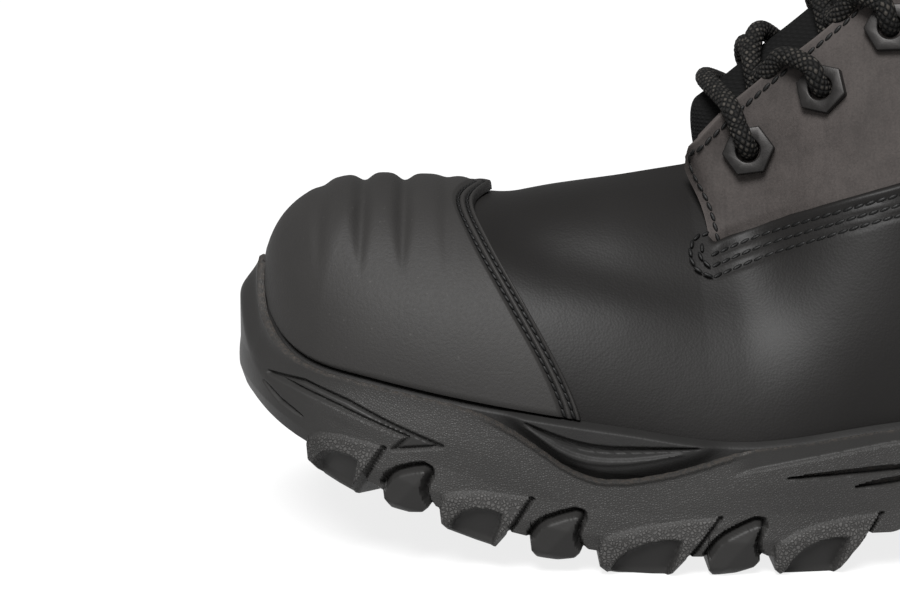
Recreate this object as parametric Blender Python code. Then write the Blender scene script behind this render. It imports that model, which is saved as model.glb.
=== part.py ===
"""Lace-up work boot for the left foot: cleated outsole, midsole, hollow leather upper, toe cap, tongue,
insole, six-sided eyelets and a lace.

The toe points to -X, the outer side of the foot to -Y and +Z is up. The boot stands on Z = 0.
Sizes below are in millimetres. Places along the boot are "run", the distance back from the toe tip of the
sole. Blender's scene is in metres, so every mesh is scaled by MM when it is made.
"""

import math
from collections import namedtuple

import bmesh
import bpy
import numpy as np
from mathutils import Matrix

MM = 0.001
WELD = 0.00002  # points this near are one, in metres
GAP = 0.35  # clearance between pieces that meet
FINE = 200  # readings of a curve where its length is wanted
HALVINGS = 24  # steps of a search by halving
TABLE_SOFTNESS = 4.0

# Driving dimensions
LUG_DEPTH = 9.0
UPPER_WALL = 2.8
PANEL_STEP = 1.0  # the vamp's wing lies this far over the facing
FLAP_LIFT = 2.0  # the front edge of the facing stands this far over the vamp
CAP_THICKNESS = 2.6
TOE_RIDGE_HEIGHT = 1.6
MIDSOLE_RIM = 2.0
INSOLE_THICKNESS = 3.4
INSOLE_BEVEL = 1.0
TONGUE_THICKNESS = 4.0
LACE_DIAMETER = 4.6
EYELET_PAIRS = 5
EYELET_FLATS = 10.6  # across the flats of the six-sided plate
EYELET_HOLE = 5.6
EYELET_THICKNESS = 1.1

LATERAL = -1.0
MEDIAL = 1.0

# The upper's foot line, a row for each section from toe to heel. lateral and medial are half widths,
# bottom is the height of the wall's lower edge inside the sole, feather the height where the sole's rim
# meets the wall, margin how far the sole stands out, rise and bulge the wall's lower handle, and
# top_out and top_drop its upper handle.
Section = namedtuple(
    "Section", "run lateral medial bottom feather margin rise bulge top_out top_drop"
)
SECTIONS = [
    Section(8.0, 0.0, 0.0, 40.0, 62.0, 7.2, 28.0, 0.5, 25.0, 0.0),
    Section(11.5, 18.0, 18.0, 39.3, 52.0, 7.0, 27.0, 0.5, 25.0, 0.0),
    Section(19.5, 31.0, 30.0, 37.5, 45.0, 6.6, 25.0, 0.5, 26.0, 0.0),
    Section(35.0, 40.5, 40.0, 34.5, 41.5, 6.2, 24.0, 0.5, 28.0, 0.0),
    Section(59.0, 46.3, 46.5, 28.5, 37.0, 5.4, 24.0, 1.0, 31.0, 1.0),
    Section(88.0, 48.6, 49.0, 22.5, 32.5, 5.0, 25.0, 1.5, 29.0, 2.0),
    Section(117.0, 49.0, 45.5, 20.5, 29.0, 5.0, 28.0, 1.5, 20.0, 12.0),
    Section(150.0, 44.5, 38.5, 24.0, 32.5, 5.0, 34.0, 1.5, 17.0, 17.0),
    Section(190.0, 38.0, 34.5, 28.0, 36.5, 5.0, 40.0, 1.5, 12.0, 34.0),
    Section(230.0, 35.5, 34.5, 30.5, 38.5, 5.4, 44.0, 2.5, 4.0, 48.0),
    Section(267.0, 33.0, 32.0, 32.0, 40.0, 6.0, 46.0, 4.0, 4.0, 56.0),
    Section(288.0, 22.0, 21.0, 32.5, 41.0, 6.6, 46.0, 6.0, 5.0, 58.0),
    Section(297.0, 0.0, 0.0, 32.5, 41.0, 7.0, 46.0, 6.0, 5.0, 58.0),
]
LAST_ROW = len(SECTIONS) - 1

# The upper's top line. Rows 0 to POLE_ROW of the foot line run up to the crown of the toe, the next ones
# to the ridge of the vamp, then to the throat's edge and last to the collar.
POLE_ROW = 2.2
RIDGE_END_ROW = 5.75
FLAP_ROW = 6.0
COLLAR_ROW = 9.2
MEDIAL_FLAP_BACK = 3.0
RIDGE_FADE_ROWS = 1.3
RIDGE_ROW = np.array([29.0, 0.0, 7.0])  # what the ridge would gain in a row if it ran on under the facing
TOP_GRIP = 5
TopPoint = namedtuple("TopPoint", "run half height")
RIDGE = [
    TopPoint(36.0, 0.0, 79.6),
    TopPoint(58.0, 0.0, 79.2),
    TopPoint(78.0, 0.0, 81.2),
    TopPoint(106.0, 0.0, 85.6),
]
THROAT = [
    TopPoint(107.5, 15.0, 93.0),
    TopPoint(122.0, 15.5, 107.0),
    TopPoint(142.0, 17.0, 124.0),
    TopPoint(160.0, 20.0, 146.0),
    TopPoint(172.0, 23.0, 168.0),
    TopPoint(179.0, 25.0, 186.0),
]
COLLAR = [
    TopPoint(179.0, 25.0, 186.0),
    TopPoint(200.0, 40.0, 187.5),
    TopPoint(228.0, 43.0, 186.0),
    TopPoint(255.0, 32.0, 182.0),
    TopPoint(270.0, 0.0, 180.0),
]

# The wing seam across the quarter, as heights at runs along the boot.
SeamPoint = namedtuple("SeamPoint", "run height")
WING_SEAM = [
    SeamPoint(80.0, 58.0),
    SeamPoint(105.0, 67.5),
    SeamPoint(150.0, 83.0),
    SeamPoint(200.0, 96.0),
    SeamPoint(250.0, 104.0),
    SeamPoint(290.0, 106.0),
]

# The tread line: lowest height of the lugs along the boot.
TreadPoint = namedtuple("TreadPoint", "run height")
TREAD = [
    TreadPoint(0.0, 32.0),
    TreadPoint(12.0, 25.0),
    TreadPoint(30.0, 16.5),
    TreadPoint(45.0, 11.5),
    TreadPoint(61.0, 6.0),
    TreadPoint(78.0, 2.0),
    TreadPoint(92.0, 0.0),
    TreadPoint(280.0, 0.0),
    TreadPoint(304.0, 5.0),
]
ARCH = namedtuple("Arch", "start end lift ramp")(149.0, 206.0, 5.0, 12.0)
TOE_LUGS = namedtuple("ToeLugs", "start length share")(8.0, 45.0, 0.5)

# Side lugs: where each begins and ends on the foot line, in rows of SECTIONS, and whether it is one of the
# small round lugs that sit back between the large ones. The back of a large one leans forward to its foot.
Lug = namedtuple("Lug", "start end small")
LUGS = [
    Lug(0.0, 1.35, False),
    Lug(2.2, 3.18, False),
    Lug(3.28, 3.58, True),
    Lug(3.68, 4.36, False),
    Lug(4.46, 4.76, True),
    Lug(4.86, 5.72, False),
    Lug(5.82, 6.1, True),
    Lug(6.2, 6.92, False),
    Lug(8.42, 8.95, False),
    Lug(9.06, 9.32, True),
    Lug(9.43, 10.1, False),
    Lug(10.22, 10.52, True),
    Lug(10.64, 11.3, False),
    Lug(11.6, 12.0, False),
]
LUG_EDGE_ROWS = 0.02
FOOT_LEAN = 0.36  # share of a large lug's length that its foot is short of
FACE_LEAN = 0.18

# How each stretch of the sole's lower side is set: inset of its face and its foot from the sole's edge, how
# far the foot is off the tread, and how far it reaches in underneath. tuck is what the toe adds to an inset.
LugSide = namedtuple("LugSide", "face foot lift reach")
LARGE_LUG = LugSide(-0.9, 1.2, 0.0, 22.0)
SMALL_LUG = LugSide(1.6, 3.2, 1.2, 12.0)
BETWEEN_LUGS = LugSide(4.5, 5.5, 0.0, 12.0)
TOE_TUCK = namedtuple("ToeTuck", "start length face foot")(4.0, 26.0, 2.4, 3.5)
LUG_ROOT = 1.5

# Relief of the sole's side wall as heights and depths at runs along the boot: the step that runs over the
# arch, and the groove below it, which is an arrow behind the toe and a slot at the arch.
SideLine = namedtuple("SideLine", "run height depth")
SIDE_STEP = [
    SideLine(0.0, 50.0, 0.0),
    SideLine(15.0, 42.3, 0.0),
    SideLine(39.0, 35.0, 0.0),
    SideLine(70.0, 27.0, 0.0),
    SideLine(92.0, 19.6, 0.0),
    SideLine(104.0, 21.6, 0.0),
    SideLine(116.0, 23.5, 1.2),
    SideLine(151.0, 29.2, 1.2),
    SideLine(190.0, 33.0, 1.2),
    SideLine(232.0, 34.2, 1.2),
    SideLine(246.0, 34.5, 0.0),
    SideLine(304.0, 35.0, 0.0),
]
SIDE_GROOVE = [
    SideLine(0.0, 40.6, 0.0),
    SideLine(5.0, 39.4, 1.1),
    SideLine(15.0, 39.3, 1.4),
    SideLine(26.0, 36.6, 1.4),
    SideLine(40.0, 31.3, 1.4),
    SideLine(50.0, 28.4, 0.0),
    SideLine(92.0, 16.0, 0.0),
    SideLine(122.0, 21.4, 0.0),
    SideLine(132.0, 22.3, 2.2),
    SideLine(180.0, 25.5, 2.2),
    SideLine(190.0, 26.0, 0.0),
    SideLine(304.0, 25.0, 0.0),
]
STEP_SLOPE = 0.5
GROOVE_HALF = 1.1
WALL_BATTER = 0.9

# The outsole's rim: its lip over the midsole, and the wave that bares the midsole at the flex of the foot.
RIM_LIP = 1.8
RIM_DROP = 0.6
RIM_DEPTH = 3.5
MIDSOLE_PLATE = 3.4
SLACK = 0.1  # added to a gap on a face that curves
WAVE = namedtuple("Wave", "start lowest end depth")(57.0, 93.0, 116.0, 7.6)
WAVE_ROWS = 3.6, 6.4
WAVE_COLUMNS = 26
SPINE = namedtuple("Spine", "start end nearest")(48.0, 256.0, 0.75)

# The upper's panels: row of the facing's front edge and how far back and up its lift fades.
FLAP_EDGE_ROW = 5.86
FLAP_FADE_ROWS = 0.8
FLAP_FADE_HEIGHT = 14.0
FLAP_EDGE_HALF = 0.015
ROW_SPACE = 0.15
LOW_BANDS, HIGH_BANDS = 3, 5
VAMP_BAND_RISE = 0.62
SEAM_STEP_RISE = 0.006

# The toe cap's rear edge as runs from the feather line up to the crown, and its three ridges.
CAP_BACK = [79.5, 70.5, 63.0, 59.8, 61.5]
CAP_FRONT = 9.0
CAP_FRONT_ROW = 0.3
CAP_FOOT_GAP = 0.8
CAP_GAP = 0.6
CAP_SPREAD = 0.8  # below 1, lines across the cap lie closer together near the crown
CAP_NOSE_LINES = 0, 0.02, 0.05, 0.1, 0.17, 0.25
CAP_RIDGE_LINES = 0.3, 0.75, 13
CAP_BAND_LINES = 0.83, 0.92, 1
CAP_COLUMNS = 15
ToeRidges = namedtuple("ToeRidges", "count middle pitch sink end_fade fade_height fade_length")
TOE_RIDGES = ToeRidges(3, 35.5, 9.2, 0.3, 4.0, 66.0, 12.0)
LENS = namedtuple("Lens", "swell start ramp least edge")(2.4, 2.0, 3.0, 1.8, 1.0)

# The tongue: clearance under the facings, height of its crown, root under the vamp and tip over the collar.
TONGUE_GAP = 1.8
TONGUE_CROWN = 11.0
TONGUE_RISES = 0.68, 0.78, 0.88, 0.95  # how far up the facings it passes under them
TONGUE_COLUMNS, TONGUE_BANDS = 11, 10
TONGUE_ROOT = namedtuple("TongueRoot", "back drop")(2.2, 12.0)
TONGUE_TIP = namedtuple("TongueTip", "run rise")(3.0, 12.0)

# Eyelets along each throat edge, and the lace's clearance over what it crosses.
EYELET_START = 12.0
EYELET_PITCH = 20.8
EYELET_INSET = 10.6
EYELET_SEAT = 0.7
LACE_START = 0.32  # where a strand begins and crosses the tongue, in pitches from its eyelet
LACE_CREST = 0.6
LACE_SPREAD = 0.62
LACE_CLEAR = 0.6
LACE_LIFT = namedtuple("LaceLift", "bar start end")(3.2, 2.6, 3.0)
EYELET_HOLE_SIDES = 8

# The origin of the part as run, side and height: on the floor under the middle of the sole's box.
MIDDLE = np.array([152.85, -0.13, 0.0])


def spline(points, at):
    """Smooth curve through rows of numbers, one row for each whole value of "at"."""
    points = np.asarray(points, float)
    at = np.clip(np.asarray(at, float), 0, len(points) - 1)
    low = np.minimum(at.astype(int), len(points) - 2)
    part = (at - low)[..., None]
    padded = np.concatenate(
        [2 * points[:1] - points[1:2], points, 2 * points[-1:] - points[-2:-1]]
    )
    before, first, second, after = (padded[low + k] for k in range(4))
    slope_a, slope_b = (second - before) / 2, (after - first) / 2
    square, cube = part**2, part**3
    return (
        first * (2 * cube - 3 * square + 1)
        + slope_a * (cube - 2 * square + part)
        + second * (3 * square - 2 * cube)
        + slope_b * (cube - square)
    )


def steady(table, run):
    """Straight-line reading of a two-column table, smoothed a little at its points."""
    table = np.asarray(table, float)
    shifts = -TABLE_SOFTNESS, 0, TABLE_SOFTNESS
    return sum(np.interp(run + shift, table[:, 0], table[:, 1]) for shift in shifts) / len(shifts)


def smooth_step(value):
    value = np.clip(value, 0, 1)
    return value * value * (3 - 2 * value)


def unit(vectors):
    return vectors / np.maximum(np.linalg.norm(vectors, axis=-1, keepdims=True), 1e-9)


# A place on the foot line is a side and a row number, which needn't be whole.
def loop_places(rows):
    """Sides and rows once round the boot: up the lateral side from the toe, back down the medial side."""
    rows = np.asarray(rows, float)
    sides = np.concatenate([np.full(len(rows), LATERAL), np.full(len(rows) - 2, MEDIAL)])
    return sides, np.concatenate([rows, rows[-2:0:-1]])


def foot_values(side, row):
    """The section's numbers at a place, with the plan point's half width picked for its side."""
    mirrored = [s._replace(lateral=-s.lateral, medial=-s.medial) for s in SECTIONS]
    ends = mirrored[1:2] + SECTIONS + mirrored[-2:-1]
    values = spline(ends, np.asarray(row, float) + 1)
    named = dict(zip(Section._fields, np.moveaxis(values, -1, 0)))
    named["half"] = np.where(side < 0, named["lateral"], named["medial"])
    named["half"] = np.where((row <= 0) | (row >= LAST_ROW), 0.0, named["half"])
    return named


def foot_line(side, row):
    """Plan points of the wall's lower edge."""
    values = foot_values(side, row)
    return np.stack([values["run"], side * values["half"], values["bottom"]], -1)


def outward(side, row):
    """Level unit vectors that point out of the foot line."""
    step = 0.02
    ahead = foot_line(side, np.minimum(row + step, LAST_ROW))
    behind = foot_line(side, np.maximum(row - step, 0))
    along = (ahead - behind) * np.array([1, 1, 0])
    normal = np.stack([-along[..., 1], along[..., 0], 0 * along[..., 0]], -1) * side[..., None]
    normal = np.where((row <= 0)[..., None], [-1.0, 0, 0], normal)
    normal = np.where((row >= LAST_ROW)[..., None], [1.0, 0, 0], normal)
    return unit(normal)


def sole_line(side, row, inset=0.0):
    """Plan points of the sole's outer edge."""
    margin = foot_values(side, row)["margin"] - inset
    return foot_line(side, row) + outward(side, row) * margin[..., None]


def top_curve(points, row, start, end):
    return spline(points, (row - start) / (end - start) * (len(points) - 1))


def top_line(side, row):
    """Points where the wall ends: crown of the toe, ridge, throat edge or collar."""
    row = np.asarray(row, float)
    ridge = top_curve(RIDGE, row, POLE_ROW, RIDGE_END_ROW)
    lip = top_curve([RIDGE[-1], THROAT[0]], row, RIDGE_END_ROW, FLAP_ROW)
    throat = top_curve(THROAT, row, FLAP_ROW, COLLAR_ROW)
    collar = top_curve(COLLAR, row, COLLAR_ROW, LAST_ROW)
    on_ridge, on_lip, on_throat = (
        (row <= end)[..., None] for end in (RIDGE_END_ROW, FLAP_ROW, COLLAR_ROW)
    )
    found = np.where(on_ridge, ridge, np.where(on_lip, lip, np.where(on_throat, throat, collar)))
    half = np.maximum(found[..., 1], 0)
    half = np.where((row <= RIDGE_END_ROW) | (row >= LAST_ROW), 0.0, half)
    # The medial facing starts a little further back.
    past = smooth_step((row - RIDGE_END_ROW) / (FLAP_ROW - RIDGE_END_ROW)) * smooth_step(COLLAR_ROW - row)
    run = found[..., 0] + np.where(side > 0, MEDIAL_FLAP_BACK * past, 0.0)
    return np.stack([run, side * half, found[..., 2]], -1)


def soft_top(side, row):
    """The top line as the wall below feels it: the vamp's ridge runs on a while under the facing."""
    top = top_line(side, row)
    ahead = np.array(RIDGE[-1]) + RIDGE_ROW * np.maximum(row - RIDGE_END_ROW, 0)[..., None]
    share = smooth_step((row - RIDGE_END_ROW) / RIDGE_FADE_ROWS)
    share = np.where(row <= RIDGE_END_ROW, 1.0, share)[..., None]
    return ahead * (1 - share) + top * share


def wall_point(side, row, rise):
    """Outer face of the upper, from its lower edge (rise 0) to its top line (rise 1)."""
    values = foot_values(side, row)
    low, top = foot_line(side, row), soft_top(side, row)
    out = outward(side, row)
    up = np.array([0.0, 0.0, 1.0])
    level = np.array([1.0, 1.0, 0.0])
    away = unit((low - top) * level)
    low_handle = low + up * values["rise"][..., None] + out * values["bulge"][..., None]
    top_handle = top + away * values["top_out"][..., None] - up * values["top_drop"][..., None]
    rise = np.asarray(rise, float)[..., None]
    rest = 1 - rise
    body = (
        low * rest**3
        + low_handle * 3 * rest**2 * rise
        + top_handle * 3 * rest * rise**2
        + top * rise**3
    )
    return body + (top_line(side, row) - top) * rise**TOP_GRIP


def wall_normal(side, row, rise):
    """Outward unit normals of the upper's outer face."""
    step = 0.01
    row_a, row_b = np.maximum(row - step, 0), np.minimum(row + step, LAST_ROW)
    rise_a, rise_b = np.maximum(rise - step, 0), np.minimum(rise + step, 1)
    around = wall_point(side, row_b, rise) - wall_point(side, row_a, rise)
    upward = wall_point(side, row, rise_b) - wall_point(side, row, rise_a)
    # On the midline the surface runs straight across.
    middle = ((row <= 0) | (row >= LAST_ROW))[..., None]
    around = np.where(middle, np.stack([0 * row, np.where(row <= 0, 1.0, -1.0) * side, 0 * row], -1), around)
    return unit(np.cross(around, upward) * side[..., None] * -1.0)


def rise_at_height(side, row, height):
    """How far up the wall a height lies, by halving."""
    low, high = np.zeros_like(row), np.full_like(row, 0.97)
    for _ in range(HALVINGS):
        middle = (low + high) / 2
        below = wall_point(side, row, middle)[..., 2] < height
        low, high = np.where(below, middle, low), np.where(below, high, middle)
    return (low + high) / 2


def tread_height(run):
    return steady(TREAD, run)


def lug_depth(run):
    """The lugs are shallower under the toe, where the sole turns up."""
    full = smooth_step((run - TOE_LUGS.start) / TOE_LUGS.length)
    return LUG_DEPTH * (TOE_LUGS.share + (1 - TOE_LUGS.share) * full)


def arch_lift(run):
    return ARCH.lift * smooth_step((run - ARCH.start) / ARCH.ramp) * smooth_step((ARCH.end - run) / ARCH.ramp)


def roof_height(run):
    """Underside of the sole between the lugs."""
    return tread_height(run) + lug_depth(run) + arch_lift(run)


def rim_dip(run):
    """How far the outsole's rim drops below the feather line at the flex of the foot."""
    front = smooth_step((run - WAVE.start) / (WAVE.lowest - WAVE.start))
    back = smooth_step((WAVE.end - run) / (WAVE.end - WAVE.lowest))
    return WAVE.depth * front * back


def seam_height(run):
    return steady(WING_SEAM, run)


# Mesh helpers
def collection_named(name):
    found = bpy.data.collections.get(name)
    if found is None:
        found = bpy.data.collections.new(name)
        bpy.context.scene.collection.children.link(found)
    return found


def material_named(name, colour, roughness, metallic=0.0):
    found = bpy.data.materials.get(name)
    if found is None:
        found = bpy.data.materials.new(name)
        found.use_nodes = True
        shader = found.node_tree.nodes["Principled BSDF"]
        shader.inputs["Base Color"].default_value = (*colour, 1.0)
        shader.inputs["Roughness"].default_value = roughness
        shader.inputs["Metallic"].default_value = metallic
    return found


def to_scene(points):
    """Boot millimetres to scene metres, with the origin under the middle of the boot."""
    return (np.asarray(points, float) - MIDDLE) * MM


def mesh_object(name, points, faces, material, collection="work_boot"):
    mesh = bpy.data.meshes.new(name)
    mesh.from_pydata([tuple(p) for p in to_scene(points)], [], [tuple(map(int, f)) for f in faces])
    work = bmesh.new()
    work.from_mesh(mesh)
    bmesh.ops.remove_doubles(work, verts=work.verts, dist=WELD)
    bmesh.ops.dissolve_degenerate(work, edges=work.edges, dist=WELD / 2)
    work.to_mesh(mesh)
    work.free()
    mesh.materials.append(material)
    made = bpy.data.objects.new(name, mesh)
    collection_named(collection).objects.link(made)
    mesh.shade_smooth()
    mesh.set_sharp_from_angle(angle=math.radians(40))
    return made


def prism(name, sides, radius, depth):
    """Upright prism round the origin, kept with the cutters."""
    work = bmesh.new()
    size = {"radius1": radius * MM, "radius2": radius * MM, "depth": depth * MM}
    bmesh.ops.create_cone(work, cap_ends=True, segments=sides, **size)
    mesh = bpy.data.meshes.new(name)
    work.to_mesh(mesh)
    work.free()
    made = bpy.data.objects.new(name, mesh)
    collection_named("cutters").objects.link(made)
    return made


def evaluated_mesh(obj, name):
    """The object's shape with its modifiers or bevel, welded into a closed mesh."""
    bpy.context.view_layer.update()
    graph = bpy.context.evaluated_depsgraph_get()
    mesh = bpy.data.meshes.new_from_object(obj.evaluated_get(graph))
    mesh.name = name
    mesh.materials.clear()
    work = bmesh.new()
    work.from_mesh(mesh)
    bmesh.ops.remove_doubles(work, verts=work.verts, dist=WELD)
    bmesh.ops.recalc_face_normals(work, faces=work.faces)
    work.to_mesh(mesh)
    work.free()
    return mesh


def face_outwards(obj):
    work = bmesh.new()
    work.from_mesh(obj.data)
    bmesh.ops.recalc_face_normals(work, faces=work.faces)
    work.to_mesh(obj.data)
    work.free()


def ring_faces(rows, count):
    """Quads between closed rings of points that follow each other."""
    here = np.arange(count)
    ahead = np.roll(here, -1)
    return [
        (r * count + i, (r + 1) * count + i, (r + 1) * count + j, r * count + j)
        for r in range(rows - 1)
        for i, j in zip(here, ahead)
    ]


def cap_faces(ring, count, turned):
    """Strips across a ring, each from a lateral place to the medial place beside it."""
    start = ring * count
    half = count // 2
    faces = []
    for i in range(half):
        near, far = start + i, start + (count - i) % count
        near_next, far_next = start + i + 1, start + count - i - 1
        face = list(dict.fromkeys([near, near_next, far_next, far]))
        faces.append(face[::-1] if turned else face)
    return faces


def ring_solid(name, rings, material):
    """Closed solid through rings that run over its surface from its middle above to its middle below."""
    rings = np.asarray(rings)
    rows, count = rings.shape[:2]
    faces = ring_faces(rows, count) + cap_faces(0, count, False) + cap_faces(rows - 1, count, True)
    return mesh_object(name, rings.reshape(-1, 3), faces, material)


def strip_faces(rows, columns):
    """Quads of an open grid of points."""
    return [
        (r * columns + c, r * columns + c + 1, (r + 1) * columns + c + 1, (r + 1) * columns + c)
        for r in range(rows - 1)
        for c in range(columns - 1)
    ]


def boolean(obj, other, operation):
    modifier = obj.modifiers.new(f"{operation.lower()}_{other.name}", "BOOLEAN")
    modifier.operation = operation
    modifier.object = other
    other.hide_render = True
    other.display_type = "WIRE"


# Outsole
def outsole_rows():
    """Rows at which the outsole has columns: even ones and both sides of every lug's ends."""
    ends = np.array([end for lug in LUGS for end in (lug.start, lug.end)])
    ends = np.unique(np.clip([ends - LUG_EDGE_ROWS, ends + LUG_EDGE_ROWS], 0, LAST_ROW))
    even = [r for r in even_rows(2.2) if np.min(np.abs(ends - r)) > 4 * LUG_EDGE_ROWS]
    return np.unique(np.concatenate([ends, even, [0, LAST_ROW]]))


def lug_kind(row):
    """The setting of the side at each row, as an array for each of its values."""
    found = np.tile(np.array(BETWEEN_LUGS), (len(row), 1))
    for lug in LUGS:
        found[(row >= lug.start) & (row <= lug.end)] = SMALL_LUG if lug.small else LARGE_LUG
    return LugSide(*found.T)


def leaning(row, share):
    """Rows with each large lug drawn together towards its front. The one round the heel stands straight."""
    for lug in LUGS:
        if not lug.small and lug.end < LAST_ROW:
            on_lug = (row >= lug.start) & (row <= lug.end)
            row = np.where(on_lug, row - (row - lug.start) * share, row)
    return row


def toward_spine(points, depth):
    """Points moved this far in from the sole's edge towards its long middle line."""
    along = np.clip(points[..., 0], SPINE.start, SPINE.end)
    spine = np.stack([along, 0 * along, points[..., 2]], -1)
    reach = np.linalg.norm(spine - points, axis=-1)
    return points + (spine - points) * np.minimum(depth / reach, SPINE.nearest)[..., None]


def at_height(points, height):
    return np.concatenate([points[..., :2], np.broadcast_to(height, points.shape[:-1])[..., None]], -1)


def rim_height(side, row):
    values = foot_values(side, row)
    return values["feather"] - RIM_DROP - rim_dip(values["run"])


def side_line(table, run):
    """Height and depth of a line of the side's relief at each run."""
    table = np.array(table)
    return np.interp(run, table[:, 0], table[:, 1]), np.interp(run, table[:, 0], table[:, 2])


def build_outsole(material):
    """Cup round the midsole, with a stepped and grooved side that ends in lugs."""
    side, row = loop_places(outsole_rows())
    values, kind = foot_values(side, row), lug_kind(row)
    on_lug = kind.face < BETWEEN_LUGS.face
    cup = GAP + MIDSOLE_RIM + GAP + SLACK
    rim = rim_height(side, row)
    rim_rise = rise_at_height(side, row, rim)
    floor = values["bottom"] - MIDSOLE_PLATE - 2 * GAP
    run = sole_line(side, row)[..., 0]
    roof = roof_height(run)
    step, step_depth = side_line(SIDE_STEP, run)
    step_top = np.where(step_depth > 0, step + STEP_SLOPE, np.maximum(rim - RIM_DEPTH, step + STEP_SLOPE))
    groove, groove_depth = side_line(SIDE_GROOVE, run)
    toe = (kind.face < 0) * (1 - smooth_step((run - TOE_TUCK.start) / TOE_TUCK.length))
    face_height = np.where(on_lug, roof - RIM_LIP, roof + WALL_BATTER)

    def cup_point(rise, offset):
        return offset_wall(side, row, rise, offset + 0 * row)

    def wall(inset, height, lean=0.0):
        return at_height(sole_line(side, leaning(row, lean), inset), height)

    foot_edge = sole_line(side, leaning(row, FOOT_LEAN), kind.foot + TOE_TUCK.foot * toe)
    lug_end = toward_spine(foot_edge, kind.reach)
    root = toward_spine(lug_end, LUG_ROOT)

    def underside(points):
        run = points[..., 0]
        return at_height(points, np.where(on_lug, tread_height(run) + kind.lift, roof_height(run)))

    rings = [
        at_height(cup_point(0 * row, cup), floor),
        cup_point(rim_rise, cup),
        cup_point(rim_rise, cup + RIM_LIP),
        wall(np.maximum(WALL_BATTER, step_depth), step_top),
        wall(0 * row, step - STEP_SLOPE),
        wall(0 * row, groove + GROOVE_HALF),
        wall(groove_depth, groove),
        wall(0 * row, groove - GROOVE_HALF),
        wall(WALL_BATTER / 2 + 0 * row, np.minimum(roof + RIM_LIP, groove - 2 * GROOVE_HALF)),
        wall(kind.face + TOE_TUCK.face * toe, face_height, FACE_LEAN),
        underside(foot_edge),
        underside(lug_end),
        at_height(root, roof_height(root[..., 0])),
    ]
    return ring_solid("outsole", rings, material)


# Midsole and insole
def build_midsole(material):
    """Plate under the foot with a thin rim up the wall, which swells where the outsole's wave bares it."""
    fine = np.linspace(*WAVE_ROWS, WAVE_COLUMNS)
    plain = [r for r in even_rows(1.6) if not WAVE_ROWS[0] < r < WAVE_ROWS[1]]
    side, row = loop_places(np.unique(np.concatenate([plain, fine])))
    values = foot_values(side, row)
    rim, feather = rim_height(side, row), values["feather"]
    dip = rim_dip(values["run"])
    bare = smooth_step((dip - LENS.start) / LENS.ramp)
    shelf = np.minimum(rim + 2 * GAP, feather - LENS.least)

    def rim_point(height, offset):
        rise = rise_at_height(side, row, height)
        return wall_point(side, row, rise) + wall_normal(side, row, rise) * np.reshape(offset, (-1, 1))

    near = GAP + SLACK + 0 * row
    far = GAP + MIDSOLE_RIM + 0 * row
    swollen = far + bare * LENS.swell
    inner_foot = foot_line(side, row) + outward(side, row) * near[:, None]
    foot = foot_line(side, row) + outward(side, row) * far[:, None]
    plate_top = values["bottom"] - GAP
    rings = [
        at_height(inner_foot, plate_top),
        rim_point((values["bottom"] + feather) / 2, near + SLACK),
        rim_point(feather - 2 * SLACK, near),
        rim_point(feather - LENS.edge, swollen),
        rim_point(shelf + LENS.edge / 2, swollen),
        rim_point(shelf, far),
        at_height(foot, plate_top - MIDSOLE_PLATE),
    ]
    return ring_solid("midsole", rings, material)


def build_insole(material):
    side, row = loop_places(even_rows(1.2))
    values = foot_values(side, row)
    out = outward(side, row)
    low = foot_line(side, row) - out * (UPPER_WALL + 2 * GAP)
    top = values["bottom"] + INSOLE_THICKNESS
    rings = [
        at_height(low - out * INSOLE_BEVEL, top),
        at_height(low, top - INSOLE_BEVEL),
        at_height(low, values["bottom"]),
    ]
    return ring_solid("insole", rings, material)


def even_rows(fineness):
    """Rows of the foot line, closer together round the toe and the heel."""
    return np.concatenate(
        [
            np.linspace(0, 3, 13),
            np.linspace(3, 10, int(7 * fineness) + 1)[1:],
            np.linspace(10, LAST_ROW, int(5 * fineness) + 1)[1:],
        ]
    )


# Upper
def offset_wall(side, row, rise, offset):
    """The upper's outer face moved out by an offset, straight up where both sides meet on the ridge."""
    normal = wall_normal(side, row, rise)
    on_ridge = (np.asarray(rise) >= 1) & (row <= RIDGE_END_ROW)
    normal = np.where(on_ridge[..., None], [0.0, 0.0, 1.0], normal)
    points = wall_point(side, row, rise) + normal * np.asarray(offset)[..., None]
    middle = on_ridge | (row <= 0) | (row >= LAST_ROW)
    return np.where(middle[..., None], points * np.array([1, 0, 1]), points)


def grid_normals(grid):
    """Unit normals of an open grid of points, from rows and columns beside each point."""
    return unit(np.cross(np.gradient(grid, axis=0), np.gradient(grid, axis=1)))


def slab(name, inner, outer, material):
    """Closed solid between two grids of the same size."""
    bands, columns = inner.shape[:2]
    size = bands * columns
    grid = strip_faces(bands, columns)
    faces = grid + [tuple(i + size for i in f[::-1]) for f in grid]
    number = np.arange(size).reshape(bands, columns)
    for line in (number[:, 0], number[::-1, -1], number[0, ::-1], number[-1]):
        faces += [(a, b, b + size, a + size) for a, b in zip(line, line[1:])]
    points = np.concatenate([inner.reshape(-1, 3), outer.reshape(-1, 3)])
    made = mesh_object(name, points, faces, material)
    face_outwards(made)
    return made


def flap_lift(side, row, rise):
    """How far the facing's front edge stands up over the vamp."""
    height = wall_point(side, row, rise)[..., 2]
    above = height - seam_height(foot_values(side, row)["run"])
    from_edge = smooth_step((row - FLAP_EDGE_ROW) / FLAP_FADE_ROWS)
    lift = FLAP_LIFT * (1 - from_edge) * smooth_step(above / FLAP_FADE_HEIGHT)
    return np.where(row > FLAP_EDGE_ROW, lift, 0.0)


def panel_offset(side, row, rise):
    """Step of the wall: the wing lies over the facing, and the facing's front edge over the vamp."""
    height = wall_point(side, row, rise)[..., 2]
    facing = (height > seam_height(foot_values(side, row)["run"])) & (row > FLAP_EDGE_ROW)
    lift = flap_lift(side, row, rise)
    return np.where(facing, lift - PANEL_STEP * (1 - lift / FLAP_LIFT), 0.0)


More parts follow.
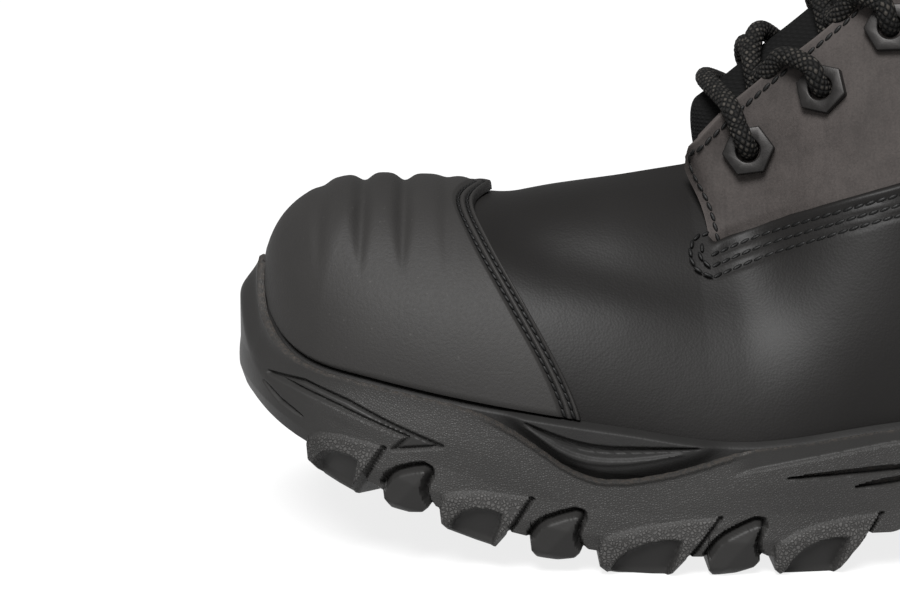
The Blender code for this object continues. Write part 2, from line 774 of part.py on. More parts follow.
def upper_rows():
    """Even rows and those where the wall's panels or its top line change, with no others near them."""
    edges = FLAP_EDGE_ROW - FLAP_EDGE_HALF, FLAP_EDGE_ROW + FLAP_EDGE_HALF
    marks = [RIDGE_END_ROW, FLAP_ROW, COLLAR_ROW, *edges]
    rows = np.concatenate([even_rows(1.4), np.linspace(FLAP_ROW, COLLAR_ROW, 9), marks])
    rows = np.unique(np.round(rows, 4))
    near = np.array([min(abs(r - m) for m in marks) for r in rows])
    return rows[(near > ROW_SPACE) | (near < 1e-6)]


def upper_rises(side, row):
    """Heights up each rib: some to the wing seam, two at its step, some more to the top line."""
    run = foot_values(side, row)["run"]
    seam = rise_at_height(side, row, seam_height(run))
    seam = np.where(row < FLAP_EDGE_ROW, np.minimum(seam, VAMP_BAND_RISE), seam)
    low = [seam * k / LOW_BANDS for k in range(LOW_BANDS)]
    above = seam + SEAM_STEP_RISE
    high = [above + (1 - above) * k / HIGH_BANDS for k in range(HIGH_BANDS)]
    return low + [seam - SEAM_STEP_RISE] + high + [np.ones_like(seam)]


def build_upper(material):
    """Hollow wall, open below, at the throat and at the collar, and joined along the vamp's ridge."""
    side, row = loop_places(upper_rows())
    rises = upper_rises(side, row)
    outer = np.array([offset_wall(side, row, r, panel_offset(side, row, r)) for r in rises])
    inner = np.array([offset_wall(side, row, r, flap_lift(side, row, r) - UPPER_WALL) for r in rises])
    bands, count = outer.shape[:2]
    size = bands * count
    faces = ring_faces(bands, count)
    faces = [f[::-1] for f in faces] + [tuple(i + size for i in f) for f in faces]
    top = size - count
    for i in range(count):
        j = (i + 1) % count
        faces.append((i, j, j + size, i + size))
        if max(row[i], row[j]) > RIDGE_END_ROW:
            faces.append((top + j, top + i, top + i + size, top + j + size))
    points = np.concatenate([outer.reshape(-1, 3), inner.reshape(-1, 3)])
    made = mesh_object("upper", points, faces, material)
    face_outwards(made)
    return made


# Toe cap
def row_at_run(side, run, rise):
    """Row at which the wall passes a run at a given rise, by halving."""
    low, high = np.zeros_like(run), np.full_like(run, RIDGE_END_ROW)
    for _ in range(HALVINGS):
        middle = (low + high) / 2
        short = wall_point(side, middle, rise)[..., 0] < run
        low, high = np.where(short, middle, low), np.where(short, high, middle)
    return (low + high) / 2


def crown_rise(run):
    """How far up the front of the toe the midline passes a run, by halving. It is 1 behind the crown."""
    low, high = np.full_like(run, 0.3), np.ones_like(run)
    middle_line = np.full_like(run, LATERAL)
    for _ in range(HALVINGS):
        middle = (low + high) / 2
        short = wall_point(middle_line, 0 * run, middle)[..., 0] < run
        low, high = np.where(short, middle, low), np.where(short, high, middle)
    return np.where(run >= RIDGE[0].run, 1.0, high)


def cap_place(across, along):
    """Side, row and rise of a place on the cap: across it from -1 to 1, along it from 0 at the toe to 1."""
    side = np.where(across < 0, LATERAL, MEDIAL)
    over = 1 - np.abs(across)

    def foot_rise(row):
        return rise_at_height(side, row, foot_values(side, row)["feather"] + CAP_FOOT_GAP)

    back = spline(np.reshape(CAP_BACK, (-1, 1)), over * (len(CAP_BACK) - 1))[..., 0]
    run = CAP_FRONT + (back - CAP_FRONT) * along
    top = crown_rise(run)
    rise = 0.5 * top
    for _ in range(6):
        row = row_at_run(side, run, rise)
        foot = foot_rise(row)
        rise = foot + (top - foot) * over**CAP_SPREAD
    row = np.where(rise >= 1, np.maximum(row, POLE_ROW), row)
    row = np.where((over >= 1) & (rise < 1), 0.0, row)
    # The first line lies round the front of the toe, along the feather line.
    front = np.abs(across) * CAP_FRONT_ROW
    row = np.where(along <= 0, front, row)
    return side, row, np.where(along <= 0, foot_rise(front), rise)


def toe_ridges(points):
    """Height of the three ridges over the crown of the cap, fading out down its sides."""
    run, height = points[..., 0], points[..., 2]
    wave = np.cos((run - TOE_RIDGES.middle) / TOE_RIDGES.pitch * 2 * math.pi)
    from_end = TOE_RIDGES.count / 2 * TOE_RIDGES.pitch - np.abs(run - TOE_RIDGES.middle)
    span = smooth_step(from_end / TOE_RIDGES.end_fade)
    fade = smooth_step((height - TOE_RIDGES.fade_height) / TOE_RIDGES.fade_length)
    return (TOE_RIDGE_HEIGHT * wave / 2 - TOE_RIDGES.sink) * span * fade


def build_toe_cap(material):
    """Moulded cap over the front of the upper, with its ridges on the outer face alone."""
    across = np.linspace(-1, 1, CAP_COLUMNS)
    across, along = np.meshgrid(across, [*CAP_NOSE_LINES, *np.linspace(*CAP_RIDGE_LINES), *CAP_BAND_LINES])
    side, row, rise = cap_place(across, along)
    inner = offset_wall(side, row, rise, CAP_GAP + 0 * row)
    face = offset_wall(side, row, rise, GAP + CAP_THICKNESS + 0 * row)
    outer = offset_wall(side, row, rise, GAP + CAP_THICKNESS + toe_ridges(face))
    return slab("toe_cap", inner, outer, material)


# Tongue
def throat_lengths(side):
    """Rows along the throat's edge, with the edge's length up to each of them."""
    rows = np.linspace(FLAP_ROW, COLLAR_ROW, FINE)
    points = top_line(np.full(FINE, side), rows)
    return rows, np.concatenate([[0], np.cumsum(np.linalg.norm(np.diff(points, axis=0), axis=1))])


def throat_row(side, distance):
    """Row at a distance along the throat's edge from the facing's corner."""
    rows, length = throat_lengths(side)
    return np.interp(distance, length, rows)


def throat_places(count):
    """Rows along the throat, evenly spaced by its edge's own length."""
    rows, length = throat_lengths(LATERAL)
    return np.interp(np.linspace(0, length[-1], count), length, rows)


def throat_normal(row):
    """Unit vectors on the midline, square to the throat's edge and out of the boot."""
    step = 0.05
    side = np.full_like(row, LATERAL)
    ahead = top_line(side, np.minimum(row + step, COLLAR_ROW))
    along = ahead - top_line(side, np.maximum(row - step, FLAP_ROW))
    return unit(np.stack([-along[..., 2], 0 * row, along[..., 0]], -1))


def tongue_section(row):
    """Points across the tongue at a throat row: under one facing, over the crown, under the other."""
    count = len(TONGUE_RISES)
    rows, rises = np.full(count, row), np.array(TONGUE_RISES)
    under = np.full(count, -UPPER_WALL - TONGUE_GAP)
    lateral = offset_wall(np.full(count, LATERAL), rows, rises, under)
    medial = offset_wall(np.full(count, MEDIAL), rows, rises, under)
    crown = (lateral[-1] + medial[-1]) / 2
    crown = crown + throat_normal(np.array([row]))[0] * TONGUE_CROWN
    crown[1] = 0.0
    points = np.concatenate([lateral, crown[None], medial[::-1]])
    return spline(points, np.linspace(0, len(points) - 1, TONGUE_COLUMNS))


def build_tongue(material):
    """Padded tongue that rises from under the vamp, fills the throat and stands above the collar."""
    rows = throat_places(TONGUE_BANDS)
    outer = [tongue_section(r) for r in rows]
    outer[0] = outer[0] + np.array([TONGUE_ROOT.back, 0.0, 0.0])
    first, last = outer[0], outer[-1]
    root = first + np.array([0.0, 0.0, -TONGUE_ROOT.drop])
    tip = last + np.array([TONGUE_TIP.run, 0.0, TONGUE_TIP.rise])
    outer = np.array([root] + outer + [tip])
    normals = grid_normals(outer)
    inner = outer - normals * TONGUE_THICKNESS
    return slab("tongue", inner, outer, material)


# Eyelets
def face_point(side, row, rise):
    """Outer face of the upper with the steps of its panels."""
    side, row, rise = (np.atleast_1d(np.asarray(v, float)) for v in (side, row, rise))
    return offset_wall(side, row, rise, panel_offset(side, row, rise))


def eyelet_frame(side, number):
    """Middle of an eyelet on the facing, its unit normal, its direction along the edge and the third one."""
    row = throat_row(side, EYELET_START + EYELET_PITCH * number)
    rises = np.linspace(1.0, 0.5, FINE)
    down = face_point(np.full(FINE, side), np.full(FINE, row), rises)
    inset = np.linalg.norm(down - down[0], axis=1)
    rise = np.interp(EYELET_INSET, inset, rises)
    middle = face_point(side, row, rise)[0]
    along = unit(face_point(side, row + 0.05, rise)[0] - face_point(side, row - 0.05, rise)[0])
    upward = face_point(side, row, rise + 0.02)[0] - face_point(side, row, rise - 0.02)[0]
    normal = unit(np.cross(along, upward))
    normal = normal * np.sign(normal[1] * side)
    return middle, normal, along, np.cross(normal, along)


def eyelet_seat(side, number):
    """Height over the eyelet's middle at which a flat plate clears the curved facing."""
    middle, normal, along, third = eyelet_frame(side, number)
    row = throat_row(side, EYELET_START + EYELET_PITCH * number)
    rows, rises = np.meshgrid(row + np.linspace(-0.4, 0.4, FINE // 6), np.linspace(0.5, 1, FINE // 3))
    rows, rises = rows.ravel(), rises.ravel()
    away = face_point(np.full(len(rows), side), rows, rises) - middle
    reach = np.hypot(away @ along, away @ third)
    corner = EYELET_FLATS / 2 / math.cos(math.pi / 6)
    return EYELET_SEAT + np.max((away @ normal)[reach < corner])


def eyelet_mesh(material):
    """Six-sided plate with a round hole, flat on its own Z = 0."""
    corner = EYELET_FLATS / 2 / math.cos(math.pi / 6)
    body = prism("eyelet_blank", 6, corner, EYELET_THICKNESS)
    hole = prism("eyelet_hole", EYELET_HOLE_SIDES, EYELET_HOLE / 2, 4 * EYELET_THICKNESS)
    boolean(body, hole, "DIFFERENCE")
    body.hide_render = True
    mesh = evaluated_mesh(body, "eyelet")
    mesh.materials.append(material)
    return mesh


def build_eyelet(name, side, number, mesh):
    middle, normal, along, third = eyelet_frame(side, number)
    place = middle + normal * (eyelet_seat(side, number) + EYELET_THICKNESS / 2)
    made = bpy.data.objects.new(name, mesh)
    turn = Matrix([along, third, normal]).transposed().to_4x4()
    made.matrix_world = Matrix.Translation(to_scene(place)) @ turn
    collection_named("work_boot").objects.link(made)
    return made


# Lace
def cord(name, path, material, collection="work_boot"):
    """Round cord along a path, as a closed mesh."""
    data = bpy.data.curves.new(name, "CURVE")
    data.dimensions = "3D"
    data.bevel_depth = LACE_DIAMETER / 2 * MM
    data.bevel_resolution = 1
    data.use_fill_caps = True
    spline_data = data.splines.new("POLY")
    spline_data.points.add(len(path) - 1)
    for point, place in zip(spline_data.points, to_scene(path)):
        point.co = (*place, 1.0)
    guide = bpy.data.objects.new(name + "_guide", data)
    collection_named("cutters").objects.link(guide)
    mesh = evaluated_mesh(guide, name)
    bpy.data.objects.remove(guide)
    mesh.materials.append(material)
    made = bpy.data.objects.new(name, mesh)
    collection_named(collection).objects.link(made)
    mesh.shade_smooth()
    return made


def over_eyelet(side, number):
    """Where the lace's end stands over an eyelet."""
    middle, normal, _, _ = eyelet_frame(side, number)
    return middle + normal * (eyelet_seat(side, number) + EYELET_THICKNESS + LACE_DIAMETER / 2 + LACE_CLEAR)


def over_edge(side, number, lift):
    """A point over the throat's edge, this far out from an eyelet's row."""
    row = throat_row(side, EYELET_START + EYELET_PITCH * number)
    edge = top_line(np.array([side]), np.array([row]))[0]
    normal = throat_normal(np.array([row]))[0]
    return edge + normal * (LACE_DIAMETER / 2 + lift)


def over_crown(number):
    """A point over the tongue's crown level with an eyelet, which may lie between two of them."""
    row = throat_row(LATERAL, EYELET_START + EYELET_PITCH * number)
    section = tongue_section(row)
    crown = section[len(section) // 2]
    return crown + throat_normal(np.array([row]))[0] * (LACE_DIAMETER / 2 + 2 * LACE_CLEAR)


def build_lace_bar(material):
    half = [over_eyelet(LATERAL, 0), over_edge(LATERAL, 0, LACE_LIFT.bar), over_crown(0)]
    other = [over_edge(MEDIAL, 0, LACE_LIFT.bar), over_eyelet(MEDIAL, 0)]
    return cord("lace_bar", spline(half + other, np.linspace(0, 4, 13)), material)


def strand(number, start):
    """Path of one strand: from beside a facing, over the tongue's crown, to the next eyelet across."""
    low = over_edge(start, number + LACE_START, LACE_LIFT.start) * np.array([1.0, LACE_SPREAD, 1.0])
    high = over_edge(-start, number + 1, LACE_LIFT.end)
    points = [low, over_crown(number + LACE_CREST), high, over_eyelet(-start, number + 1)]
    return spline(points, np.linspace(0, 3, 9))


def build_lace_cross(number, material):
    made = cord(f"lace_cross_{number + 1}", strand(number, LATERAL), material)
    other = cord(f"lace_cross_{number + 1}_other", strand(number, MEDIAL), material, "cutters")
    boolean(made, other, "UNION")
    return made


def clear_scene():
    for obj in list(bpy.data.objects):
        bpy.data.objects.remove(obj)


def main():
    clear_scene()
    rubber = material_named("sole_rubber", (0.016, 0.016, 0.017), 0.55)
    foam = material_named("midsole_foam", (0.02, 0.02, 0.021), 0.6)
    leather = material_named("upper_leather", (0.02, 0.019, 0.018), 0.5)
    cap_rubber = material_named("cap_rubber", (0.025, 0.024, 0.023), 0.6)
    lining = material_named("insole_foam", (0.03, 0.03, 0.03), 0.8)
    tongue_cloth = material_named("tongue_cloth", (0.012, 0.012, 0.012), 0.8)
    build_outsole(rubber)
    build_midsole(foam)
    build_insole(lining)
    build_upper(leather)
    build_toe_cap(cap_rubber)
    build_tongue(tongue_cloth)
    metal = material_named("eyelet_metal", (0.03, 0.03, 0.03), 0.45)
    lace = material_named("lace_cord", (0.015, 0.015, 0.015), 0.8)
    plate = eyelet_mesh(metal)
    for number in range(EYELET_PAIRS):
        build_eyelet(f"eyelet_lateral_{number + 1}", LATERAL, number, plate)
        build_eyelet(f"eyelet_medial_{number + 1}", MEDIAL, number, plate)
    build_lace_bar(lace)
    for number in range(EYELET_PAIRS - 1):
        build_lace_cross(number, lace)


main()
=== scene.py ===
"""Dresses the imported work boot: leather panels, moulded rubber, stitching, eyelets and a braided lace.

The toe points to -X, the outer side of the foot to -Y and +Z is up. Sizes in the tables are millimetres.
"run" is the distance back from the toe tip of the sole and "row" a place on the foot line, from 0 at the
toe to LAST_ROW at the heel. "rise" goes up the wall of the upper, from 0 at the sole to 1 at its top line.
"""

import functools
import math
from collections import namedtuple

import bpy
import numpy as np
from bpy.props import FloatProperty, FloatVectorProperty, PointerProperty
from mathutils import Euler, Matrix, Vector


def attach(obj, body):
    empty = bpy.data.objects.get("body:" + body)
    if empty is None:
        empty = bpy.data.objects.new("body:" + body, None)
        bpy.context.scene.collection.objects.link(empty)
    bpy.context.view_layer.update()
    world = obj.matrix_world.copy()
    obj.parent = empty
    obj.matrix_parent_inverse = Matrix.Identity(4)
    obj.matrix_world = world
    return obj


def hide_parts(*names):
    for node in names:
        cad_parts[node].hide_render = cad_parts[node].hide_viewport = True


bl_info = {
    "name": "Work boot dressing",
    "version": (1, 0, 0),
    "blender": (4, 5, 0),
    "location": "3D View > Sidebar > Boot",
    "description": "Builds the finished pieces of a lace-up work boot around its packed solids",
    "category": "Object",
}

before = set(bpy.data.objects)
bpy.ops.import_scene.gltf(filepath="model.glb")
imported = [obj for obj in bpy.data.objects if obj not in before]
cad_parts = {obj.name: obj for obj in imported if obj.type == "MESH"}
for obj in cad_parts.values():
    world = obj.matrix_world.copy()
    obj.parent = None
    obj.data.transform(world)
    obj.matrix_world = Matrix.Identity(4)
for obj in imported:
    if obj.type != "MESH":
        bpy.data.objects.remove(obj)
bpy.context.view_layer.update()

MM = 0.001
WELD = 0.00002
GAP = 0.35
# Steps of a search by halving, and the highest place that it looks at on the wall.
HALVINGS = 18
HIGHEST_RISE = 0.97
# Rows at which a line is measured, and how far a table is smoothed along the boot.
FINE_ROWS = 1500
SMOOTHING = 4
LATERAL = -1.0
MEDIAL = 1.0

# Foot line of the upper from toe to heel. lateral and medial are half widths, bottom the height of the
# wall's lower edge inside the sole, feather the height where the sole's rim meets the wall, margin how far
# the sole stands out, rise and bulge the wall's lower handle, top_out and top_drop its upper handle.
Section = namedtuple(
    "Section", "run lateral medial bottom feather margin rise bulge top_out top_drop"
)
SECTIONS = [
    Section(8.0, 0.0, 0.0, 40.0, 62.0, 7.2, 28.0, 0.5, 25.0, 0.0),
    Section(11.5, 18.0, 18.0, 39.3, 52.0, 7.0, 27.0, 0.5, 25.0, 0.0),
    Section(19.5, 31.0, 30.0, 37.5, 45.0, 6.6, 25.0, 0.5, 26.0, 0.0),
    Section(35.0, 40.5, 40.0, 34.5, 41.5, 6.2, 24.0, 0.5, 28.0, 0.0),
    Section(59.0, 46.3, 46.5, 28.5, 37.0, 5.4, 24.0, 1.0, 31.0, 1.0),
    Section(88.0, 48.6, 49.0, 22.5, 32.5, 5.0, 25.0, 1.5, 29.0, 2.0),
    Section(117.0, 49.0, 45.5, 20.5, 29.0, 5.0, 28.0, 1.5, 20.0, 12.0),
    Section(150.0, 44.5, 38.5, 24.0, 32.5, 5.0, 34.0, 1.5, 17.0, 17.0),
    Section(190.0, 38.0, 34.5, 28.0, 36.5, 5.0, 40.0, 1.5, 12.0, 34.0),
    Section(230.0, 35.5, 34.5, 30.5, 38.5, 5.4, 44.0, 2.5, 4.0, 48.0),
    Section(267.0, 33.0, 32.0, 32.0, 40.0, 6.0, 46.0, 4.0, 4.0, 56.0),
    Section(288.0, 22.0, 21.0, 32.5, 41.0, 6.6, 46.0, 6.0, 5.0, 58.0),
    Section(297.0, 0.0, 0.0, 32.5, 41.0, 7.0, 46.0, 6.0, 5.0, 58.0),
]
LAST_ROW = len(SECTIONS) - 1

# Top line of the upper: crown of the toe, ridge of the vamp, throat edge and collar.
POLE_ROW = 2.2
RIDGE_END_ROW = 5.75
FLAP_ROW = 6.0
COLLAR_ROW = 9.2
MEDIAL_FLAP_BACK = 5.5
RIDGE_FADE_ROWS = 1.2
RIDGE_SLOPE = 29.0, 0.0, 7.0
TOP_GRIP = 5
TopPoint = namedtuple("TopPoint", "run half height")
RIDGE = [
    TopPoint(36.0, 0.0, 79.6),
    TopPoint(58.0, 0.0, 79.2),
    TopPoint(78.0, 0.0, 81.2),
    TopPoint(106.0, 0.0, 85.6),
]
THROAT = [
    TopPoint(107.5, 15.0, 93.0),
    TopPoint(122.0, 15.5, 107.0),
    TopPoint(142.0, 17.0, 124.0),
    TopPoint(160.0, 20.0, 146.0),
    TopPoint(172.0, 23.0, 168.0),
    TopPoint(179.0, 25.0, 186.0),
]
COLLAR = [
    TopPoint(179.0, 25.0, 186.0),
    TopPoint(200.0, 40.0, 187.5),
    TopPoint(228.0, 43.0, 186.0),
    TopPoint(255.0, 32.0, 182.0),
    TopPoint(270.0, 0.0, 180.0),
]
WING_SEAM = [(80.0, 58.0), (105.0, 67.5), (150.0, 83.0), (200.0, 96.0), (250.0, 104.0), (290.0, 106.0)]
UPPER_WALL = 2.8
PANEL_STEP = 1.0
FLAP_LIFT = 2.0
FLAP_EDGE_ROW = 5.86
FLAP_FADE_ROWS = 0.8
FLAP_FADE_HEIGHT = 14.0
# The facing's lower front margin goes under the wing from this height over the seam.
TUCK_START = 2.6
TUCK_HEIGHT = 3.0
TUCK_ROWS = 1.1
TUCK_DEPTH = 2.0

# Sole: lowest height of the lugs along the boot, the arch, and the dip of the rim at the flex of the foot.
TREAD = [(0, 32), (12, 25), (30, 16.5), (45, 11.5), (61, 6), (78, 2), (92, 0), (280, 0), (304, 5)]
ARCH = namedtuple("Arch", "start end lift")(149.0, 206.0, 5.0)
ARCH_RAMP = 12.0
LUG_DEPTH = 9.0
RIM_DROP = 0.6
MIDSOLE_RIM = 2.0
RIM_DIP = [
    (56.0, 0.0), (66.0, 3.0), (74.0, 7.8), (80.0, 10.8), (86.0, 11.2),
    (94.0, 9.2), (104.0, 5.2), (114.0, 0.8), (119.0, 0.0),
]
MIDDLE = np.array([152.85, -0.13, 0.0])


def spline(points, at):
    """Smooth curve through rows of numbers, one row for each whole value of "at"."""
    points = np.asarray(points, float)
    at = np.clip(np.asarray(at, float), 0, len(points) - 1)
    low = np.minimum(at.astype(int), len(points) - 2)
    part = (at - low)[..., None]
    padded = np.concatenate(
        [2 * points[:1] - points[1:2], points, 2 * points[-1:] - points[-2:-1]]
    )
    before, first, second, after = (padded[low + k] for k in range(4))
    slope_a, slope_b = (second - before) / 2, (after - first) / 2
    square, cube = part**2, part**3
    return (
        first * (2 * cube - 3 * square + 1)
        + slope_a * (cube - 2 * square + part)
        + second * (3 * square - 2 * cube)
        + slope_b * (cube - square)
    )


def steady(table, run):
    """Straight-line reading of a two-column table, smoothed a little at its points."""
    shifts = -SMOOTHING, 0, SMOOTHING
    return sum(np.interp(run + shift, *np.transpose(table)) for shift in shifts) / len(shifts)


def smooth_step(value):
    """0 below 0 and 1 above 1, with a smooth rise between."""
    value = np.clip(value, 0, 1)
    return value * value * (3 - 2 * value)


def unit(vectors):
    return vectors / np.maximum(np.linalg.norm(vectors, axis=-1, keepdims=True), 1e-9)


def to_scene(points):
    """Boot millimetres to scene metres, with the origin under the middle of the boot."""
    return (np.asarray(points, float) - MIDDLE) * MM


def at_height(points, height):
    """The same plan points at another height."""
    return np.concatenate([points[..., :2], np.broadcast_to(height, points.shape[:-1])[..., None]], -1)


def foot_values(side, row):
    """The section's numbers at a place, with the half width picked for its side."""
    mirrored = [s._replace(lateral=-s.lateral, medial=-s.medial) for s in SECTIONS]
    ends = mirrored[1:2] + SECTIONS + mirrored[-2:-1]
    values = spline(ends, np.asarray(row, float) + 1)
    named = dict(zip(Section._fields, np.moveaxis(values, -1, 0)))
    named["half"] = np.where(side < 0, named["lateral"], named["medial"])
    named["half"] = np.where((row <= 0) | (row >= LAST_ROW), 0.0, named["half"])
    return named


def foot_line(side, row):
    """Plan points of the wall's lower edge."""
    values = foot_values(side, row)
    return np.stack([values["run"], side * values["half"], values["bottom"]], -1)


def outward(side, row):
    """Level unit vectors that point out of the foot line."""
    step = 0.02
    ahead = foot_line(side, np.minimum(row + step, LAST_ROW))
    behind = foot_line(side, np.maximum(row - step, 0))
    along = (ahead - behind) * np.array([1, 1, 0])
    normal = np.stack([-along[..., 1], along[..., 0], 0 * along[..., 0]], -1) * side[..., None]
    normal = np.where((row <= 0)[..., None], [-1.0, 0, 0], normal)
    normal = np.where((row >= LAST_ROW)[..., None], [1.0, 0, 0], normal)
    return unit(normal)


def sole_line(side, row):
    """Plan points of the sole's outer edge."""
    return foot_line(side, row) + outward(side, row) * foot_values(side, row)["margin"][..., None]


def top_curve(points, row, start, end):
    return spline(points, (row - start) / (end - start) * (len(points) - 1))


def top_line(side, row):
    """Points where the wall ends: crown of the toe, ridge, throat edge or collar."""
    row = np.asarray(row, float)
    ridge = top_curve(RIDGE, row, POLE_ROW, RIDGE_END_ROW)
    lip = top_curve([RIDGE[-1], THROAT[0]], row, RIDGE_END_ROW, FLAP_ROW)
    throat = top_curve(THROAT, row, FLAP_ROW, COLLAR_ROW)
    collar = top_curve(COLLAR, row, COLLAR_ROW, LAST_ROW)
    on_ridge, on_lip, on_throat = (
        (row <= end)[..., None] for end in (RIDGE_END_ROW, FLAP_ROW, COLLAR_ROW)
    )
    found = np.where(on_ridge, ridge, np.where(on_lip, lip, np.where(on_throat, throat, collar)))
    half = np.maximum(found[..., 1], 0)
    half = np.where((row <= RIDGE_END_ROW) | (row >= LAST_ROW), 0.0, half)
    past = smooth_step((row - RIDGE_END_ROW) / (FLAP_ROW - RIDGE_END_ROW)) * smooth_step(COLLAR_ROW - row)
    run = found[..., 0] + np.where(side > 0, MEDIAL_FLAP_BACK * past, 0.0)
    return np.stack([run, side * half, found[..., 2]], -1)


def soft_top(side, row):
    """Top line that shapes the wall below it: the vamp's ridge runs on a while under the facing."""
    ahead = np.array(RIDGE[-1]) + np.array(RIDGE_SLOPE) * np.maximum(row - RIDGE_END_ROW, 0)[..., None]
    share = smooth_step((row - FLAP_ROW) / RIDGE_FADE_ROWS)
    share = np.where(row <= RIDGE_END_ROW, 1.0, share)[..., None]
    return ahead * (1 - share) + top_line(side, row) * share


def wall_point(side, row, rise, grip=True):
    """Outer face of the upper. Without grip it runs on under the facing's corner, as the vamp does."""
    values = foot_values(side, row)
    low, top = foot_line(side, row), soft_top(side, row)
    out = outward(side, row)
    up = np.array([0.0, 0.0, 1.0])
    away = unit((low - top) * np.array([1.0, 1.0, 0.0]))
    low_handle = low + up * values["rise"][..., None] + out * values["bulge"][..., None]
    top_handle = top + away * values["top_out"][..., None] - up * values["top_drop"][..., None]
    rise = np.asarray(rise, float)[..., None]
    rest = 1 - rise
    body = (
        low * rest**3
        + low_handle * 3 * rest**2 * rise
        + top_handle * 3 * rest * rise**2
        + top * rise**3
    )
    return body + (top_line(side, row) - top) * rise**TOP_GRIP * float(grip)


def wall_normal(side, row, rise, grip=True):
    """Outward unit normals of the upper's outer face."""
    step = 0.01
    row_a, row_b = np.maximum(row - step, 0), np.minimum(row + step, LAST_ROW)
    rise_a, rise_b = np.maximum(rise - step, 0), np.minimum(rise + step, 1)
    around = wall_point(side, row_b, rise, grip) - wall_point(side, row_a, rise, grip)
    upward = wall_point(side, row, rise_b, grip) - wall_point(side, row, rise_a, grip)
    middle = ((row <= 0) | (row >= LAST_ROW))[..., None]
    straight = np.stack([0 * row, np.where(row <= 0, 1.0, -1.0) * side, 0 * row], -1)
    around = np.where(middle, straight, around)
    return unit(np.cross(around, upward) * side[..., None] * -1.0)


def offset_wall(side, row, rise, offset, grip=True):
    """The upper's face moved out by an offset, straight up where both sides meet on the ridge."""
    normal = wall_normal(side, row, rise, grip)
    on_ridge = (np.asarray(rise) >= 1) & (row <= RIDGE_END_ROW)
    normal = np.where(on_ridge[..., None], [0.0, 0.0, 1.0], normal)
    points = wall_point(side, row, rise, grip) + normal * np.asarray(offset)[..., None]
    middle = on_ridge | (row <= 0) | (row >= LAST_ROW)
    return np.where(middle[..., None], points * np.array([1, 0, 1]), points)


def rise_at_height(side, row, height, grip=True):
    """How far up the wall a height lies, by halving."""
    low, high = np.zeros_like(row), np.full_like(row, HIGHEST_RISE)
    for _ in range(HALVINGS):
        middle = (low + high) / 2
        below = wall_point(side, row, middle, grip)[..., 2] < height
        low, high = np.where(below, middle, low), np.where(below, high, middle)
    return (low + high) / 2


def seam_height(run):
    return steady(WING_SEAM, run)


def tread_height(run):
    return steady(TREAD, run)


def roof_height(run):
    """Underside of the sole between the lugs, which are shallower under the toe."""
    depth = LUG_DEPTH * (0.5 + 0.5 * smooth_step((run - 8) / 45))
    lift = smooth_step((run - ARCH.start) / ARCH_RAMP) * smooth_step((ARCH.end - run) / ARCH_RAMP)
    return tread_height(run) + depth + ARCH.lift * lift


def rim_dip(run):
    """How far the outsole's rim drops below the feather line at the flex of the foot."""
    return steady(RIM_DIP, run)


def rim_height(side, row):
    values = foot_values(side, row)
    return values["feather"] - RIM_DROP - rim_dip(values["run"])


def flap_lift(side, row, rise):
    """How far the facing's front edge stands up over the vamp."""
    height = wall_point(side, row, rise)[..., 2]
    above = height - seam_height(foot_values(side, row)["run"])
    from_edge = smooth_step((row - FLAP_EDGE_ROW) / FLAP_FADE_ROWS)
    return FLAP_LIFT * (1 - from_edge) * smooth_step(above / FLAP_FADE_HEIGHT)


def facing_offset(side, row, rise):
    """Step of the facing: under the wing at its seam, over the vamp at its front edge."""
    lift = flap_lift(side, row, rise)
    above = wall_point(side, row, rise)[..., 2] - seam_height(foot_values(side, row)["run"])
    from_edge = smooth_step((row - FLAP_EDGE_ROW) / TUCK_ROWS)
    tucked = smooth_step((TUCK_START - above) / TUCK_HEIGHT) * (1 - from_edge)
    return lift - PANEL_STEP * (1 - lift / FLAP_LIFT) - TUCK_DEPTH * tucked


def facing_point(side, row, rise):
    side, row, rise = (np.atleast_1d(np.asarray(v, float)) for v in (side, row, rise))
    return offset_wall(side, row, rise, facing_offset(side, row, rise))


def even_girth_rows(line, side, start, end, step):
    """Rows from start to end whose points on a line lie about a step apart."""
    rows = np.linspace(start, end, FINE_ROWS)
    points = line(np.full(FINE_ROWS, side), rows)
    length = np.concatenate([[0], np.cumsum(np.linalg.norm(np.diff(points, axis=0), axis=1))])
    count = max(3, int(round(length[-1] / step)) + 1)
    return np.interp(np.linspace(0, length[-1], count), length, rows)


def loop_rows(line, near_step, far_step, near_row):
    """Sides and rows once round the boot, close together on the front of the lateral side."""
    near = even_girth_rows(line, LATERAL, 0, near_row, near_step)
    far = even_girth_rows(line, LATERAL, near_row, LAST_ROW, far_step)[1:]
    back = even_girth_rows(line, MEDIAL, 0, LAST_ROW, far_step)[::-1]
    rows = np.concatenate([near, far, back[1:]])
    sides = np.full(len(rows), LATERAL)
    sides[len(near) + len(far) :] = MEDIAL
    return sides, rows


def away_from_line(points, u, v):
    """Distance of places to a line of points, and how far along that line each is nearest, from 0 to 1."""
    points = np.asarray(points, float)
    best, where = np.full(u.shape, 1e9), np.zeros(u.shape)
    for k, (a, b) in enumerate(zip(points, points[1:])):
        span = b - a
        part = np.clip(((u - a[0]) * span[0] + (v - a[1]) * span[1]) / max(span @ span, 1e-9), 0, 1)
        gap = np.hypot(u - a[0] - part * span[0], v - a[1] - part * span[1])
        where = np.where(gap < best, (k + part) / (len(points) - 1), where)
        best = np.minimum(best, gap)
    return best, where


def stroke(points, u, v, width, soft=0.35, tapered=False):
    """1 on a line of that width, fading over the soft edge. A tapered one is thin at both ends."""
    gap, where = away_from_line(points, u, v)
    half = width / 2 * (np.sin(np.pi * np.clip(where, 0.02, 0.98)) ** 0.6 if tapered else 1.0)
    return smooth_step((half - gap) / soft + 0.5)


